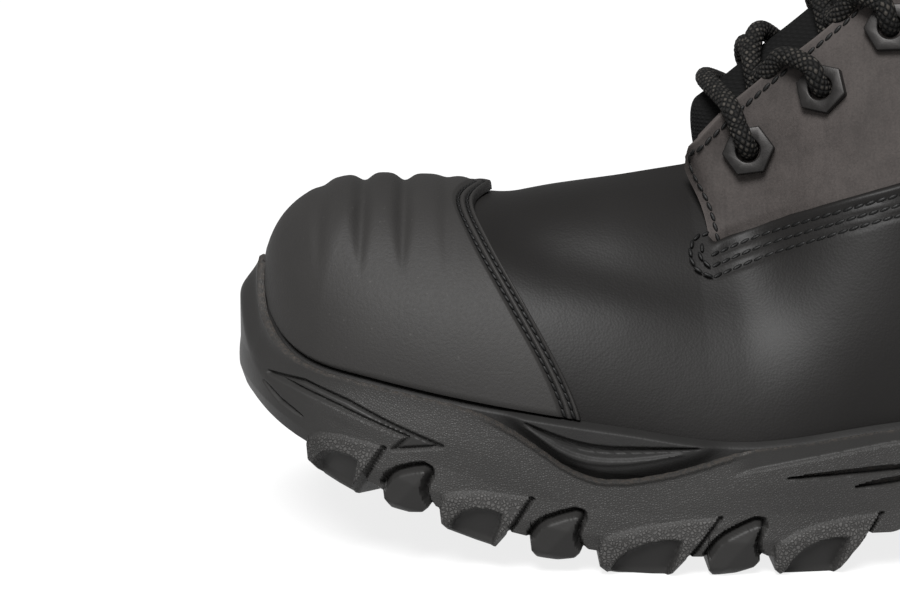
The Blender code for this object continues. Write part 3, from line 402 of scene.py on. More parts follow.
def inside(points, u, v, soft=0.5):
    """1 inside a closed outline, fading over its soft edge."""
    points = np.asarray(points, float)
    gap, _ = away_from_line(np.concatenate([points, points[:1]]), u, v)
    crossed = np.zeros(u.shape, bool)
    for a, b in zip(points, np.roll(points, -1, axis=0)):
        if a[1] == b[1]:
            continue
        between = (a[1] > v) != (b[1] > v)
        crossed ^= between & (u < (b[0] - a[0]) * (v - a[1]) / (b[1] - a[1]) + a[0])
    return smooth_step(np.where(crossed, gap, -gap) / soft + 0.5)


def ripple(u, v, scale, seed):
    """Gentle irregular waves between about -1 and 1, the same on every run."""
    total = 0
    for k in range(4):
        angle = seed * 2.4 + k * 1.9
        across = u * math.cos(angle) + v * math.sin(angle)
        total = total + np.sin(across / scale * (1.7 + 0.6 * k) + seed + 2.1 * k)
    return total / 4


# Modelling steps
def nothing_selected():
    if bpy.context.mode != "OBJECT":
        bpy.ops.object.mode_set(mode="OBJECT")
    bpy.ops.object.select_all(action="DESELECT")


def only(piece):
    """Selects one piece alone and makes it the active one."""
    nothing_selected()
    piece.select_set(True)
    bpy.context.view_layer.objects.active = piece


def wrapped_grid(name, points, flat=None, marks=None, flip=False):
    """A grid primitive laid over rows and columns of points.

    flat gives the piece's own UV map in millimetres and marks its named masks, each on the same grid.
    Rows or columns that meet are welded.
    """
    points = np.asarray(points, float)
    rows, columns = points.shape[:2]
    nothing_selected()
    bpy.ops.mesh.primitive_grid_add(x_subdivisions=columns - 1, y_subdivisions=rows - 1, size=2)
    piece = bpy.context.object
    piece.name = name
    mesh = piece.data
    flat_places = np.empty(len(mesh.vertices) * 3, np.float32)
    mesh.vertices.foreach_get("co", flat_places)
    flat_places = flat_places.reshape(-1, 3)
    column = np.rint((flat_places[:, 0] + 1) / 2 * (columns - 1)).astype(int)
    row = np.rint((flat_places[:, 1] + 1) / 2 * (rows - 1)).astype(int)
    mesh.vertices.foreach_set("co", to_scene(points[row, column]).astype(np.float32).ravel())
    for mark, values in (marks or {}).items():
        mask = mesh.attributes.new(mark, "FLOAT", "POINT")
        mask.data.foreach_set("value", np.asarray(values, np.float32)[row, column])
    if flat is not None:
        corners = np.empty(len(mesh.loops), np.int32)
        mesh.loops.foreach_get("vertex_index", corners)
        places = np.stack([flat[0][row, column], flat[1][row, column]], -1)[corners]
        mesh.uv_layers.active.data.foreach_set("uv", places.astype(np.float32).ravel())
    bpy.ops.object.mode_set(mode="EDIT")
    bpy.ops.mesh.select_all(action="SELECT")
    bpy.ops.mesh.remove_doubles(threshold=WELD)
    if flip:
        bpy.ops.mesh.flip_normals()
    bpy.ops.object.mode_set(mode="OBJECT")
    return piece


def modified(piece, kind, **settings):
    """Adds one modifier with its settings and applies it."""
    only(piece)
    modifier = piece.modifiers.new(kind.lower(), kind)
    for name, value in settings.items():
        setattr(modifier, name, value)
    bpy.ops.object.modifier_apply(modifier=modifier.name)
    return piece


def bevelled(piece, width, segments, angle):
    """Rounds the edges that are sharper than an angle in degrees."""
    sharp = math.radians(angle)
    modified(piece, "BEVEL", width=width * MM, segments=segments, limit_method="ANGLE", angle_limit=sharp)


def thickened(piece, depth):
    """Gives an open sheet a wall on its inner side."""
    return modified(piece, "SOLIDIFY", thickness=depth * MM, offset=-1.0, use_rim=True)


def faces_out(piece):
    only(piece)
    bpy.ops.object.mode_set(mode="EDIT")
    bpy.ops.mesh.select_all(action="SELECT")
    bpy.ops.mesh.normals_make_consistent(inside=False)
    bpy.ops.object.mode_set(mode="OBJECT")
    return piece


def smoothed(piece, angle=35):
    """Smooth shading across edges flatter than an angle in degrees."""
    only(piece)
    bpy.ops.object.shade_smooth_by_angle(angle=math.radians(angle))
    return piece


def copied(piece, places, name):
    """Copies of a small piece, one for each matrix, joined into one piece. The model itself is removed."""
    model = piece.data
    local = np.empty(len(model.vertices) * 3, np.float32)
    model.vertices.foreach_get("co", local)
    local = np.concatenate([local.reshape(-1, 3), np.ones((len(model.vertices), 1))], axis=1)
    nothing_selected()
    made = []
    for place in places:
        mesh = model.copy()
        mesh.vertices.foreach_set("co", (local @ np.asarray(place).T)[:, :3].astype(np.float32).ravel())
        copy = bpy.data.objects.new(name, mesh)
        bpy.context.collection.objects.link(copy)
        copy.select_set(True)
        made.append(copy)
    bpy.context.view_layer.objects.active = made[0]
    bpy.ops.object.join()
    bpy.data.objects.remove(piece)
    made[0].name = name
    return made[0]


def dressed(piece, finish, slot, *nodes):
    """Gives a piece its finish and the boot's body, and hides the solids that it stands for. The slot is
    not used.
    """
    piece.data.materials.clear()
    piece.data.materials.append(finish)
    piece.data.update()
    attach(piece, "root")
    if nodes:
        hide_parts(*nodes)
    return piece


def standing(place, along, normal):
    """Matrix that lays a model's X along a direction and its Z along a normal, at a place."""
    along = unit(np.asarray(along, float))
    normal = unit(normal - along * (normal @ along))
    matrix = np.eye(4)
    matrix[:3, :3] = np.stack([along, np.cross(normal, along), normal], -1)
    matrix[:3, 3] = to_scene(place)
    return matrix


# Finishes
class Wire:
    """A value in a finish, which adds a Math node for each step reckoned with it."""

    def __init__(self, finish, socket):
        self.finish = finish
        self.socket = socket

    def math(self, operation, first, second):
        return self.finish.node("ShaderNodeMath", {"operation": operation}, {0: first, 1: second})

    def __add__(self, other):
        return self.math("ADD", self, other)

    def __radd__(self, other):
        return self.math("ADD", other, self)

    def __sub__(self, other):
        return self.math("SUBTRACT", self, other)

    def __rsub__(self, other):
        return self.math("SUBTRACT", other, self)

    def __mul__(self, other):
        return self.math("MULTIPLY", self, other)

    def __rmul__(self, other):
        return self.math("MULTIPLY", other, self)


class Finish:
    """One material: a Principled shader and the nodes that feed it."""

    # Numbers of the Mix node's colour sockets, whose names it uses more than once.
    MIX_SHARE, MIX_FIRST, MIX_SECOND, MIX_RESULT = 0, 6, 7, 2

    def __init__(self, name, colour, roughness, metallic=0.0, coat=0.0, coat_roughness=0.3, specular=0.5):
        self.material = bpy.data.materials.new(name)
        self.material.use_nodes = True
        self.tree = self.material.node_tree
        self.shader = self.tree.nodes["Principled BSDF"]
        plain = {
            "Base Color": (*colour, 1.0),
            "Roughness": roughness,
            "Metallic": metallic,
            "Coat Weight": coat,
            "Coat Roughness": coat_roughness,
            "Specular IOR Level": specular,
        }
        for socket, value in plain.items():
            self.shader.inputs[socket].default_value = value

    def node(self, kind, settings=None, sockets=None, output=0):
        """Any node: its settings are set first, then each socket gets a value or a link."""
        made = self.tree.nodes.new(kind)
        for name, value in (settings or {}).items():
            setattr(made, name, value)
        for socket, value in (sockets or {}).items():
            if isinstance(value, Wire):
                self.tree.links.new(value.socket, made.inputs[socket])
            else:
                made.inputs[socket].default_value = value
        return Wire(self, made.outputs[output])

    def feed(self, socket, wire):
        self.tree.links.new(wire.socket, self.shader.inputs[socket])

    def place(self):
        return self.node("ShaderNodeTexCoord", output="Object")

    def flat(self, across=1.0, along=1.0):
        """The piece's own UV map in millimetres, stretched."""
        own = self.node("ShaderNodeTexCoord", output="UV")
        settings = {"operation": "MULTIPLY"}
        return self.node("ShaderNodeVectorMath", settings, {0: own, 1: (across, along, 1.0)})

    def part(self, vector, axis):
        return self.node("ShaderNodeSeparateXYZ", None, {0: vector}, output=axis)

    def mark(self, name):
        """A mask that the piece carries."""
        return self.node("ShaderNodeAttribute", {"attribute_name": name}, output="Fac")

    def noise(self, size, where, detail=3.0, rough=0.5):
        sockets = {"Vector": where, "Scale": 1.0 / size, "Detail": detail, "Roughness": rough}
        return self.node("ShaderNodeTexNoise", None, sockets)

    def cells(self, size, where, feature="F1"):
        sockets = {"Vector": where, "Scale": 1.0 / size}
        return self.node("ShaderNodeTexVoronoi", {"feature": feature}, sockets)

    def ramp(self, value, low, high):
        """0 below low and 1 above high, smooth between them."""
        sockets = {"Value": value, "From Min": low, "From Max": high}
        return self.node("ShaderNodeMapRange", {"interpolation_type": "SMOOTHSTEP"}, sockets)

    def tint(self, share, first, second):
        """Mix of two colours, each a colour or a link."""
        sockets = {self.MIX_SHARE: share}
        for end, colour in ((self.MIX_FIRST, first), (self.MIX_SECOND, second)):
            sockets[end] = colour if isinstance(colour, Wire) else (*colour[:3], 1.0)
        return self.node("ShaderNodeMix", {"data_type": "RGBA"}, sockets, self.MIX_RESULT)

    def bump(self, height, depth, under=None):
        """Relief of a given depth in millimetres, over another one if there is one."""
        sockets = {"Height": height, "Distance": depth * MM, "Strength": 1.0}
        if under is not None:
            sockets["Normal"] = under
        return self.node("ShaderNodeBump", None, sockets)

    def done(self, colour=None, roughness=None, normal=None):
        for socket, wire in (("Base Color", colour), ("Roughness", roughness), ("Normal", normal)):
            if wire is not None:
                self.feed(socket, wire)
        return self.material


WORN_EDGE = 0.045, 0.037, 0.031


def shade(colour, factor):
    return tuple(min(1.0, c * factor) for c in colour[:3])


def smooth_leather(colour):
    """Black oiled leather of the vamp and wing: fine grain, faint pores, soft sheen."""
    made = Finish("vamp_leather", colour, 0.42, coat=0.012, coat_roughness=0.35, specular=0.12)
    where = made.place()
    patches = made.noise(0.03, where, 2.0)
    grain = made.cells(0.0006, where)
    fine = made.noise(0.0004, where, 2.0)
    relief = made.bump(grain * 0.6 + fine * 0.4, 0.035)
    relief = made.bump(made.noise(0.008, where, 3.0), 0.08, relief)
    tone = made.tint(patches, shade(colour, 0.8), shade(colour, 1.3))
    return made.done(tone, 0.38 + patches * 0.16 + fine * 0.06, relief)


def brushed_leather(colour):
    """Warm dark brushed leather of the facings: short nap, faint streaks and scuffs."""
    made = Finish("facing_leather", colour, 0.72, specular=0.13)
    where = made.place()
    nap = made.noise(0.0005, where, 4.0, 0.7)
    cloud = made.noise(0.012, where, 4.0, 0.6)
    streak = made.noise(0.001, made.flat(0.001, 0.00013), 3.0)
    mixed = made.ramp(cloud * 0.42 + streak * 0.13 + nap * 0.45, 0.33, 0.67)
    tone = made.tint(mixed, shade(colour, 0.72), shade(colour, 1.35))
    tone = made.tint(made.mark("edge") * 0.6, tone, shade(colour, 1.9))
    relief = made.bump(nap, 0.07, made.bump(cloud, 0.25))
    return made.done(tone, 0.66 + nap * 0.18, relief)


def moulded_cap(colour):
    """Matte moulded rubber of the toe cap: even fine speckle, a few dusty specks."""
    made = Finish("cap_moulded", colour, 0.56, specular=0.15)
    where = made.place()
    speckle = made.noise(0.0007, where, 3.0, 0.65)
    specks = made.ramp(made.noise(0.0011, where, 1.0), 0.74, 0.8)
    cloud = made.noise(0.02, where, 2.0)
    tone = made.tint(cloud, shade(colour, 0.85), shade(colour, 1.2))
    tone = made.tint(specks * 0.35, tone, shade(colour, 3.0))
    relief = made.bump(speckle, 0.09)
    return made.done(tone, 0.5 + speckle * 0.16, relief)


def sole_rubber(colour):
    """Outsole rubber: leathery grain on its side, coarse pebble on the lugs' bands painted lighter as a
    painted highlight, smooth places painted darker as painted shade, a worn light rim.
    """
    made = Finish("outsole_rubber", colour, 0.5, specular=0.16)
    where = made.place()
    pebble = made.mark("pebble")
    plain = made.mark("plain")
    wear = made.mark("wear")
    grain = made.ramp(made.cells(0.00055, where, "DISTANCE_TO_EDGE"), 0.0, 0.3)
    lumps = made.ramp(made.cells(0.0008, where, "DISTANCE_TO_EDGE"), 0.02, 0.25)
    fine = made.noise(0.0005, where, 3.0)
    cloud = made.noise(0.015, where, 3.0)
    rough = (1 - pebble) * (1 - plain)
    tone = made.tint(cloud, shade(colour, 0.75), shade(colour, 1.2))
    tone = made.tint(grain * rough * 0.3, tone, shade(colour, 1.6))
    # The pebbled bands are painted lighter: their lumpy grain, and a painted highlight where the bands
    # face up.
    tone = made.tint(pebble * lumps * (0.2 + fine), tone, shade(colour, 2.6))
    # Smooth places are painted darker: painted shade on the scallops, thumbs, arrow, toe and the arch's
    # recess.
    tone = made.tint(plain * 0.6, tone, shade(colour, 0.5))
    dust = made.ramp(made.noise(0.0009, where, 4.0, 0.7), 0.42, 0.62)
    tone = made.tint(wear * dust * 0.55, tone, WORN_EDGE)
    height = grain * rough * 0.4 + lumps * pebble + fine * 0.2
    return made.done(tone, 0.42 + fine * 0.14 + pebble * 0.1, made.bump(height, 0.16))


def midsole_foam(colour):
    """Plain fine-grained rubber of the midsole's rim."""
    made = Finish("midsole_rubber", colour, 0.55, specular=0.15)
    where = made.place()
    fine = made.noise(0.0006, where, 3.0)
    cloud = made.noise(0.01, where, 3.0)
    tone = made.tint(cloud, shade(colour, 0.8), shade(colour, 1.3))
    return made.done(tone, 0.5 + fine * 0.15, made.bump(fine, 0.07))


def woven_cloth(name, colour, thread):
    """Plain woven cloth over the piece's own UV map."""
    made = Finish(name, colour, 0.85, specular=0.09)
    settings = {"wave_type": "BANDS", "bands_direction": "X"}
    one = made.node("ShaderNodeTexWave", settings, {"Vector": made.flat(), "Scale": 0.31 / thread})
    settings = {"wave_type": "BANDS", "bands_direction": "Y"}
    other = made.node("ShaderNodeTexWave", settings, {"Vector": made.flat(), "Scale": 0.31 / thread}, 1)
    over = one * other
    fuzz = made.noise(0.0006, made.place(), 3.0)
    tone = made.tint(over * 0.6 + fuzz * 0.4, shade(colour, 0.7), shade(colour, 1.5))
    return made.done(tone, 0.8 + fuzz * 0.15, made.bump(over + fuzz * 0.4, 0.22))


def braided_cord(colour, fleck_and_highlight):
    """Round braided lace: crossing yarns with some grey ones among the black, the lighter colour painted
    on each yarn's crown, partly grey yarn and partly a painted highlight.
    """
    made = Finish("lace_braid", colour, 0.75, specular=0.13)
    strands = made.flat()
    cell = made.node("ShaderNodeVectorMath", {"operation": "FLOOR"}, {0: strands})
    yarn = made.node("ShaderNodeTexWhiteNoise", {"noise_dimensions": "2D"}, {"Vector": cell})
    within = made.node("ShaderNodeVectorMath", {"operation": "FRACTION"}, {0: strands})
    one, other = made.part(within, "X"), made.part(within, "Y")
    top = one * (1 - one) * other * (1 - other) * 16
    fibre = made.noise(0.0003, made.place(), 2.0)
    # Each yarn's crown is painted lighter, as a painted highlight, strongest on the grey yarns.
    light = made.ramp(top, 0.3, 0.85) * (0.1 + yarn * yarn * 0.9) * (0.4 + fibre)
    tone = made.tint(light, made.tint(fibre, shade(colour, 0.6), shade(colour, 1.6)), fleck_and_highlight)
    return made.done(tone, 0.65 + fibre * 0.2, made.bump(top + fibre * 0.25, 0.4))


def dark_metal(colour):
    """Dark satin plating of the eyelets, a little worn."""
    made = Finish("eyelet_satin", colour, 0.4, metallic=0.6, specular=0.16)
    where = made.place()
    fine = made.noise(0.0004, where, 2.0)
    worn = made.noise(0.002, where, 3.0)
    tone = made.tint(worn, shade(colour, 0.75), shade(colour, 1.5))
    return made.done(tone, 0.34 + worn * 0.16, made.bump(fine, 0.02))


def waxed_thread(colour):
    """Black waxed sewing thread with a faint sheen."""
    made = Finish("waxed_thread", colour, 0.5, specular=0.16)
    fibre = made.noise(0.0003, made.place(), 2.0)
    tone = made.tint(fibre, shade(colour, 0.6), shade(colour, 1.7))
    return made.done(tone, 0.42 + fibre * 0.2, made.bump(fibre, 0.06))


# Outsole
# Lugs along the side by the runs where each starts and ends. The large ones lean back like fins, and a
# small round one sits behind each of most of them.
LARGE_LUGS = [
    (18.9, 36.2), (48.8, 69.2), (83.9, 111.0), (123.0, 147.3),
    (207.0, 229.0), (246.0, 268.0), (283.0, 300.0),
]
SMALL_LUGS = [(36.0, 47.4), (68.6, 81.4), (107.8, 121.4), (231, 243.5), (270, 280.5)]
# Outlines on a lug's side: share of its length, then height over the tread.
FIN_TOP = [(0.0, 5.0), (0.07, 7.6), (0.2, 9.4), (0.42, 11.2), (0.68, 12.4), (1.0, 13.2)]
FIN_BACK = [(1.0, 13.2), (0.81, 6.6), (0.7, 3.2), (0.6, 0.0)]
FIN_FOOT = [(0.5, -1.0), (0.0, -1.0)]
FIN_SCALLOP = [
    (0.1, 0.4), (0.16, 3.2), (0.26, 5.8), (0.42, 7.8), (0.58, 8.5),
    (0.68, 8.2), (0.65, 5.0), (0.55, -1.0), (0.06, -1.0),
]
THUMB = [
    (0.02, 5.0), (0.15, 7.7), (0.32, 9.6), (0.59, 11.5), (0.81, 12.7), (0.92, 12.5),
    (0.94, 11.2), (0.87, 9.4), (0.83, 7.2), (0.87, 5.3), (0.96, 4.0),
]
THUMB_ENDS = [(0.98, -2.0), (0.0, -2.0)]
# Lower edges of the lugs: millimetres from the lug's front or rear end, or shares of its length for the
# fin's rear, then height over the tread. From CLEAR up the web takes over.
CLEAR = 20.0
FIN_FRONT_EDGE = [(-0.3, CLEAR), (0.2, 1.8), (2.2, 0.0)]
FIN_REAR_EDGE = [(0.6, 0.0), (0.7, 3.0), (0.81, 6.6), (0.95, CLEAR)]
THUMB_FRONT_EDGE = [(-0.2, CLEAR), (0.5, 2.0), (1.7, 0.6)]
THUMB_MIDDLE_HEIGHT = 1.0
THUMB_REAR_EDGE = [(-2.6, 2.2), (-0.9, 4.2), (-0.3, CLEAR)]
# How far the lugs stand out of the wall, and how much more for each millimetre further down.
FIN_BAND_OUT, FIN_BAND_LEAN, FIN_BAND_TOP = 0.5, 0.12, 13
FIN_SCOOP_IN, FIN_SCOOP_LEAN, FIN_SCOOP_TOP = 0.4, 0.16, 8
FIN_BACK_DEPTH = 1.4
THUMB_CROWN, THUMB_FRONT_SLOPE, THUMB_REAR_SLOPE = 1.5, 0.13, 0.24
THUMB_CREST, THUMB_CREST_LEAN = 0.19, 0.06
THUMB_GAP_DEPTH = 2.6
# Marks on the side wall as runs and heights: the long arrow groove, its lower line, the step of the arch
# and its two slots with their widths.
ARROW = [
    (9.0, 41.0), (16.8, 40.6), (27.4, 37.4), (37.6, 33.1), (49.2, 28.6),
    (38.3, 27.4), (41.5, 30.3), (25.0, 36.2), (14.0, 39.6),
]
ARROW_LINE = [(8.5, 38.8), (12.4, 35.7), (17.8, 32.8)]
ARCH_STEP = [(112.0, 22.0), (116.8, 23.5), (132.9, 26.2), (151.0, 29.2), (190.0, 33.0), (232.0, 34.2)]
ARCH_SLOTS = [
    ([(126.0, 21.9), (138.7, 22.8), (151.2, 23.5), (188.0, 26.0)], 1.5),
    ([(141.3, 19.5), (151.3, 20.8), (180.0, 23.0)], 1.7),
]
ARROW_DEPTH, ARROW_EDGE_DEPTH, ARROW_LINE_DEPTH = 0.3, 1.0, 0.9
ARCH_STEP_DEPTH = 0.9
ARCH_SLOT_DEPTH = 2.6
# Places this smooth take next to none of the rubber's grain and are painted darker, as painted shade.
SMOOTH_AND_SHADED_SHARE = 0.9
RIM_LIP = 1.8
RIM_ROUND = 0.35
RIM_RIPPLE = 0.12
TOE_RAISE = 2.4
RIM_BEAD, RIM_BEAD_OUT = 1.1, 0.6
# How far the wall flares out at each height over the tread, and how much less at the toe.
FLARE = [(0, -1.2), (2, -0.3), (8, 0.7), (14, 0.0)]
TOE_TUCK = 1.4
CUP_FLOOR = 4.1
SPINE_ENDS = 48.0, 256.0
# Further in than the sole is wide, so that it ends on the middle line.
TO_SPINE = 1e3
LUG_REACH = 22.0
# Rings under the sole: how far in from its edge, and how far off the lugs' own height. The last is the
# roof between the lugs.
UNDERSIDE = [
    (0.7, -0.5), (2.0, -0.7), (8.0, -0.7), (15.0, -0.7), (LUG_REACH, -0.5), (LUG_REACH + 1.5, None),
]
# Edges this far over the tread are webs and aren't rounded.
WEB_HEIGHT = 4.0
WALL_ROWS, SKIRT_ROWS = 92, 26
SKIRT = 3.0
# Share of the lugs' depth that the web between them fills, along the runs.
WEB = [(20, 0.0), (36, 0.5), (132, 0.5), (144, 0.0), (210, 0.0), (222, 0.5)]
# Share of the side's relief that is left at the lugs' feet.
FOOT_RELIEF = 0.3
BLOCK_HALF_SIZE = 6.5, 9.0, 4.0
BLOCK_BEVEL = 0.8
BLOCK_LIFT = 4.6
BLOCK_TURN = 0.5
BLOCK_RUNS = range(62, 284, 19)


def scaled(outline, start, end):
    return [(start + share * (end - start), height) for share, height in outline]


def shifted(outline, start):
    return [(start + away, height) for away, height in outline]


def lug_bottom(run):
    """Height of the sole's lower edge over the tread: nothing at a lug, the web between lugs."""
    found = (roof_height(run) - tread_height(run)) * (1 - np.interp(run, *np.transpose(WEB)))
    edges = []
    for start, end in LARGE_LUGS:
        edges.append(shifted(FIN_FRONT_EDGE, start) + scaled(FIN_REAR_EDGE, start, end))
    for start, end in SMALL_LUGS:
        middle = [((start + end) / 2, THUMB_MIDDLE_HEIGHT)]
        edges.append(shifted(THUMB_FRONT_EDGE, start) + middle + shifted(THUMB_REAR_EDGE, end))
    for edge in edges:
        found = np.minimum(found, np.interp(run, *np.transpose(edge), left=CLEAR, right=CLEAR))
    return found


def side_relief(run, height):
    """How far the side wall stands out of or into its plain face, and its pebbled and smooth places. The
    rubber paints the pebbled ones lighter as a painted highlight and the smooth ones darker as painted
    shade.
    """
    over = height - tread_height(run)
    out = np.zeros_like(run)
    pebble, plain = np.zeros_like(run), np.zeros_like(run)
    for start, end in LARGE_LUGS:
        scoop = inside(scaled(FIN_SCALLOP, start, end), run, over, 0.9)
        band = inside(scaled(FIN_TOP + FIN_BACK[1:] + FIN_FOOT, start, end), run, over, 0.9) * (1 - scoop)
        back = stroke(scaled(FIN_BACK, start, end), run, over, 0.9)
        out += band * (FIN_BAND_OUT + FIN_BAND_LEAN * (FIN_BAND_TOP - over)) - FIN_BACK_DEPTH * back
        out -= scoop * (FIN_SCOOP_IN + FIN_SCOOP_LEAN * (FIN_SCOOP_TOP - over))
        pebble = np.maximum(pebble, band * (1 - back))
        plain = np.maximum(plain, scoop)
    for start, end in SMALL_LUGS:
        thumb = inside(scaled(THUMB + THUMB_ENDS, start, end), run, over, 0.8)
        gap = stroke(scaled(THUMB, start, end), run, over, 1.2, 0.9)
        crest = start + (THUMB_CREST + THUMB_CREST_LEAN * over) * (end - start)
        slope = np.where(run < crest, THUMB_FRONT_SLOPE, THUMB_REAR_SLOPE)
        out += thumb * (THUMB_CROWN - slope * np.abs(run - crest)) - THUMB_GAP_DEPTH * gap
        pebble, plain = pebble * (1 - gap) * (1 - thumb), np.maximum(plain, thumb)
    from_foot = FOOT_RELIEF + (1 - FOOT_RELIEF) * smooth_step((over + 0.4) / 2.4)
    out *= smooth_step((run - 2) / 8) * from_foot
    arrow = inside(ARROW, run, height, 0.6)
    rimmed = stroke([*ARROW, ARROW[0]], run, height, 0.7, 0.7)
    lower = stroke(ARROW_LINE, run, height, 0.8, 0.7, tapered=True)
    out -= ARROW_DEPTH * arrow + ARROW_EDGE_DEPTH * rimmed + ARROW_LINE_DEPTH * lower
    step = np.interp(run, *np.transpose(ARCH_STEP))
    reach = smooth_step((run - ARCH_STEP[0][0]) / 8) * smooth_step((ARCH_STEP[-1][0] - run) / 8)
    recess = smooth_step((height - step) / ARCH_STEP_DEPTH + 0.5) * reach
    out -= ARCH_STEP_DEPTH * recess
    for line, width in ARCH_SLOTS:
        out -= ARCH_SLOT_DEPTH * stroke(line, run, height, width, tapered=True)
    toe = 1 - smooth_step((run - 12) / 26)
    # The toe and the arch's recess count as smooth, so they are also painted darker as painted shade.
    return out, pebble, np.max([plain, arrow, SMOOTH_AND_SHADED_SHARE * toe, SMOOTH_AND_SHADED_SHARE * recess], axis=0)


def toward_spine(points, depth):
    """Points moved in from the sole's edge towards its long middle line."""
    spine = np.stack([np.clip(points[..., 0], *SPINE_ENDS), 0 * points[..., 0], points[..., 2]], -1)
    reach = np.linalg.norm(spine - points, axis=-1, keepdims=True)
    return points + (spine - points) * np.minimum(depth / np.maximum(reach, 1e-6), 1.0)


def foot_floor(points):
    """Height of the upper's lower edge over each point of the sole."""
    return np.interp(points[..., 0], [s.run for s in SECTIONS], [s.bottom for s in SECTIONS])


def outsole_grid():
    """Points of the outsole from its inside floor over the rim, down the side and under the lugs."""
    side, row = loop_rows(sole_line, 0.42, 1.3, 7.25)
    values = foot_values(side, row)
    out = outward(side, row)
    edge = sole_line(side, row)
    run = edge[..., 0]
    rim = rim_height(side, row) + RIM_RIPPLE * ripple(run * side, 0 * run, 1.3, 3)
    rim = rim + TOE_RAISE * (1 - smooth_step(row / 0.9))
    rim_rise = rise_at_height(side, row, rim)
    cup = GAP + MIDSOLE_RIM + GAP
    inner = at_height(offset_wall(side, row, rim_rise, cup + 0 * row), rim)
    lip = at_height(offset_wall(side, row, rim_rise, cup + RIM_LIP + 0 * row), rim)
    floor = at_height(offset_wall(side, row, 0 * row, cup + 0 * row), values["bottom"] - CUP_FLOOR)
    tread = tread_height(run)
    low = tread + lug_bottom(run)
    toe = 1 - smooth_step((run - 4) / 26)
    top = rim - RIM_ROUND
    skirt = roof_height(run) + SKIRT
    above = top - (top - skirt) * np.linspace(0, 1, WALL_ROWS - SKIRT_ROWS)[:, None]
    below = skirt - (skirt - low) * np.linspace(0, 1, SKIRT_ROWS + 1)[1:, None]
    height = np.concatenate([above, below])
    over = height - tread
    reach = smooth_step((rim - height) / 9)[..., None]
    flare = np.interp(over, *np.transpose(FLARE)) - TOE_TUCK * toe * smooth_step(1 - over / 12)
    relief, pebble, plain = side_relief(np.broadcast_to(run, height.shape), height)
    bead = smooth_step(1.3 - (rim - height) / RIM_BEAD) * smooth_step(rim_dip(run) / 2)
    swell = flare + relief + RIM_BEAD_OUT * bead
    wall = at_height(lip + (edge - lip) * reach, height) + out * swell[..., None]
    wear = np.maximum(smooth_step((height - rim + 0.45) / 0.25), 0.7 * bead)
    foot = wall[-1]
    deep = foot[..., 2] > tread + WEB_HEIGHT
    under = []
    for depth, raise_by in UNDERSIDE:
        ring = toward_spine(foot, depth)
        flat = np.maximum(tread_height(ring[..., 0]) + lug_bottom(run) + (raise_by or 0) * ~deep, 0)
        roof = roof_height(ring[..., 0])
        under.append(at_height(ring, roof if raise_by is None else np.minimum(flat, roof)))
    middle = toward_spine(foot, TO_SPINE)
    middle = at_height(middle, roof_height(middle[..., 0]))
    plate = toward_spine(floor, TO_SPINE)
    plate = at_height(plate, foot_floor(plate) - CUP_FLOOR)
    crest = (inner + lip) / 2 + [0, 0, 0.15]
    rings = [plate, floor, inner - [0, 0, 0.4], inner, crest, *wall, *under, middle]
    before, after = len(rings) - WALL_ROWS - len(under) - 1, len(under) + 1

    def over_all(values, start=0.0):
        first, last = np.full((before, len(row)), start), np.zeros((after, len(row)))
        return np.concatenate([first, values, last])

    marks = {"pebble": over_all(pebble), "plain": over_all(plain), "wear": over_all(wear, 1.0)}
    return np.array(rings), marks


def build_outsole(colour):
    points, marks = outsole_grid()
    piece = faces_out(wrapped_grid("outsole_moulding", points, marks=marks))
    smoothed(piece, 38)
    return dressed(piece, sole_rubber(colour), "sole_rubber", "outsole")


def build_tread_blocks(colour):
    """Plain blocks down the middle of the tread, between the ends of the side lugs."""
    bpy.ops.mesh.primitive_cube_add(size=2)
    block = bpy.context.object
    block.scale = [size * MM for size in BLOCK_HALF_SIZE]
    only(block)
    bpy.ops.object.transform_apply(location=False, rotation=False, scale=True)
    modified(block, "BEVEL", width=BLOCK_BEVEL * MM, segments=2, limit_method="NONE")
    runs = [r for r in BLOCK_RUNS if not ARCH.start + 2 < r < ARCH.end - 2]
    places = []
    for k, run in enumerate(runs):
        height = tread_height(np.array(float(run))) + BLOCK_LIFT
        turn = np.array([math.cos(BLOCK_TURN), math.sin(BLOCK_TURN) * (-1) ** k, 0.0])
        places.append(standing(np.array([run, 0.0, height]), turn, np.array([0, 0, 1.0])))
    piece = smoothed(copied(block, places, "outsole_tread_blocks"))
    return dressed(piece, colour, "sole_rubber")


# Midsole
LENS_SWELL = 2.4
TOE_SINK = 1.8
# Lines on the bared part as runs and heights.
LENS_GROOVE = [
    (68.0, 33.7), (71.0, 32.3), (74.4, 30.9), (78.0, 29.7),
    (82.0, 28.8), (87.0, 28.3), (96.0, 28.2), (106.0, 28.2),
]
LENS_RIDGE = [
    (68.5, 32.6), (71.4, 30.7), (75.0, 28.4), (78.5, 26.9), (82.0, 26.0),
    (86.0, 25.6), (91.0, 25.7), (96.0, 26.2), (102.0, 27.1),
]
LENS_GROOVE_DEPTH = 1.4
LENS_RIDGE_HEIGHT = 0.7
# How far the midsole stands over the feather line, reaches down behind the outsole's rim and is rounded.
MIDSOLE_SHOWS = 0.25
MIDSOLE_TUCK = 3.0
MIDSOLE_ROUND = 1.6


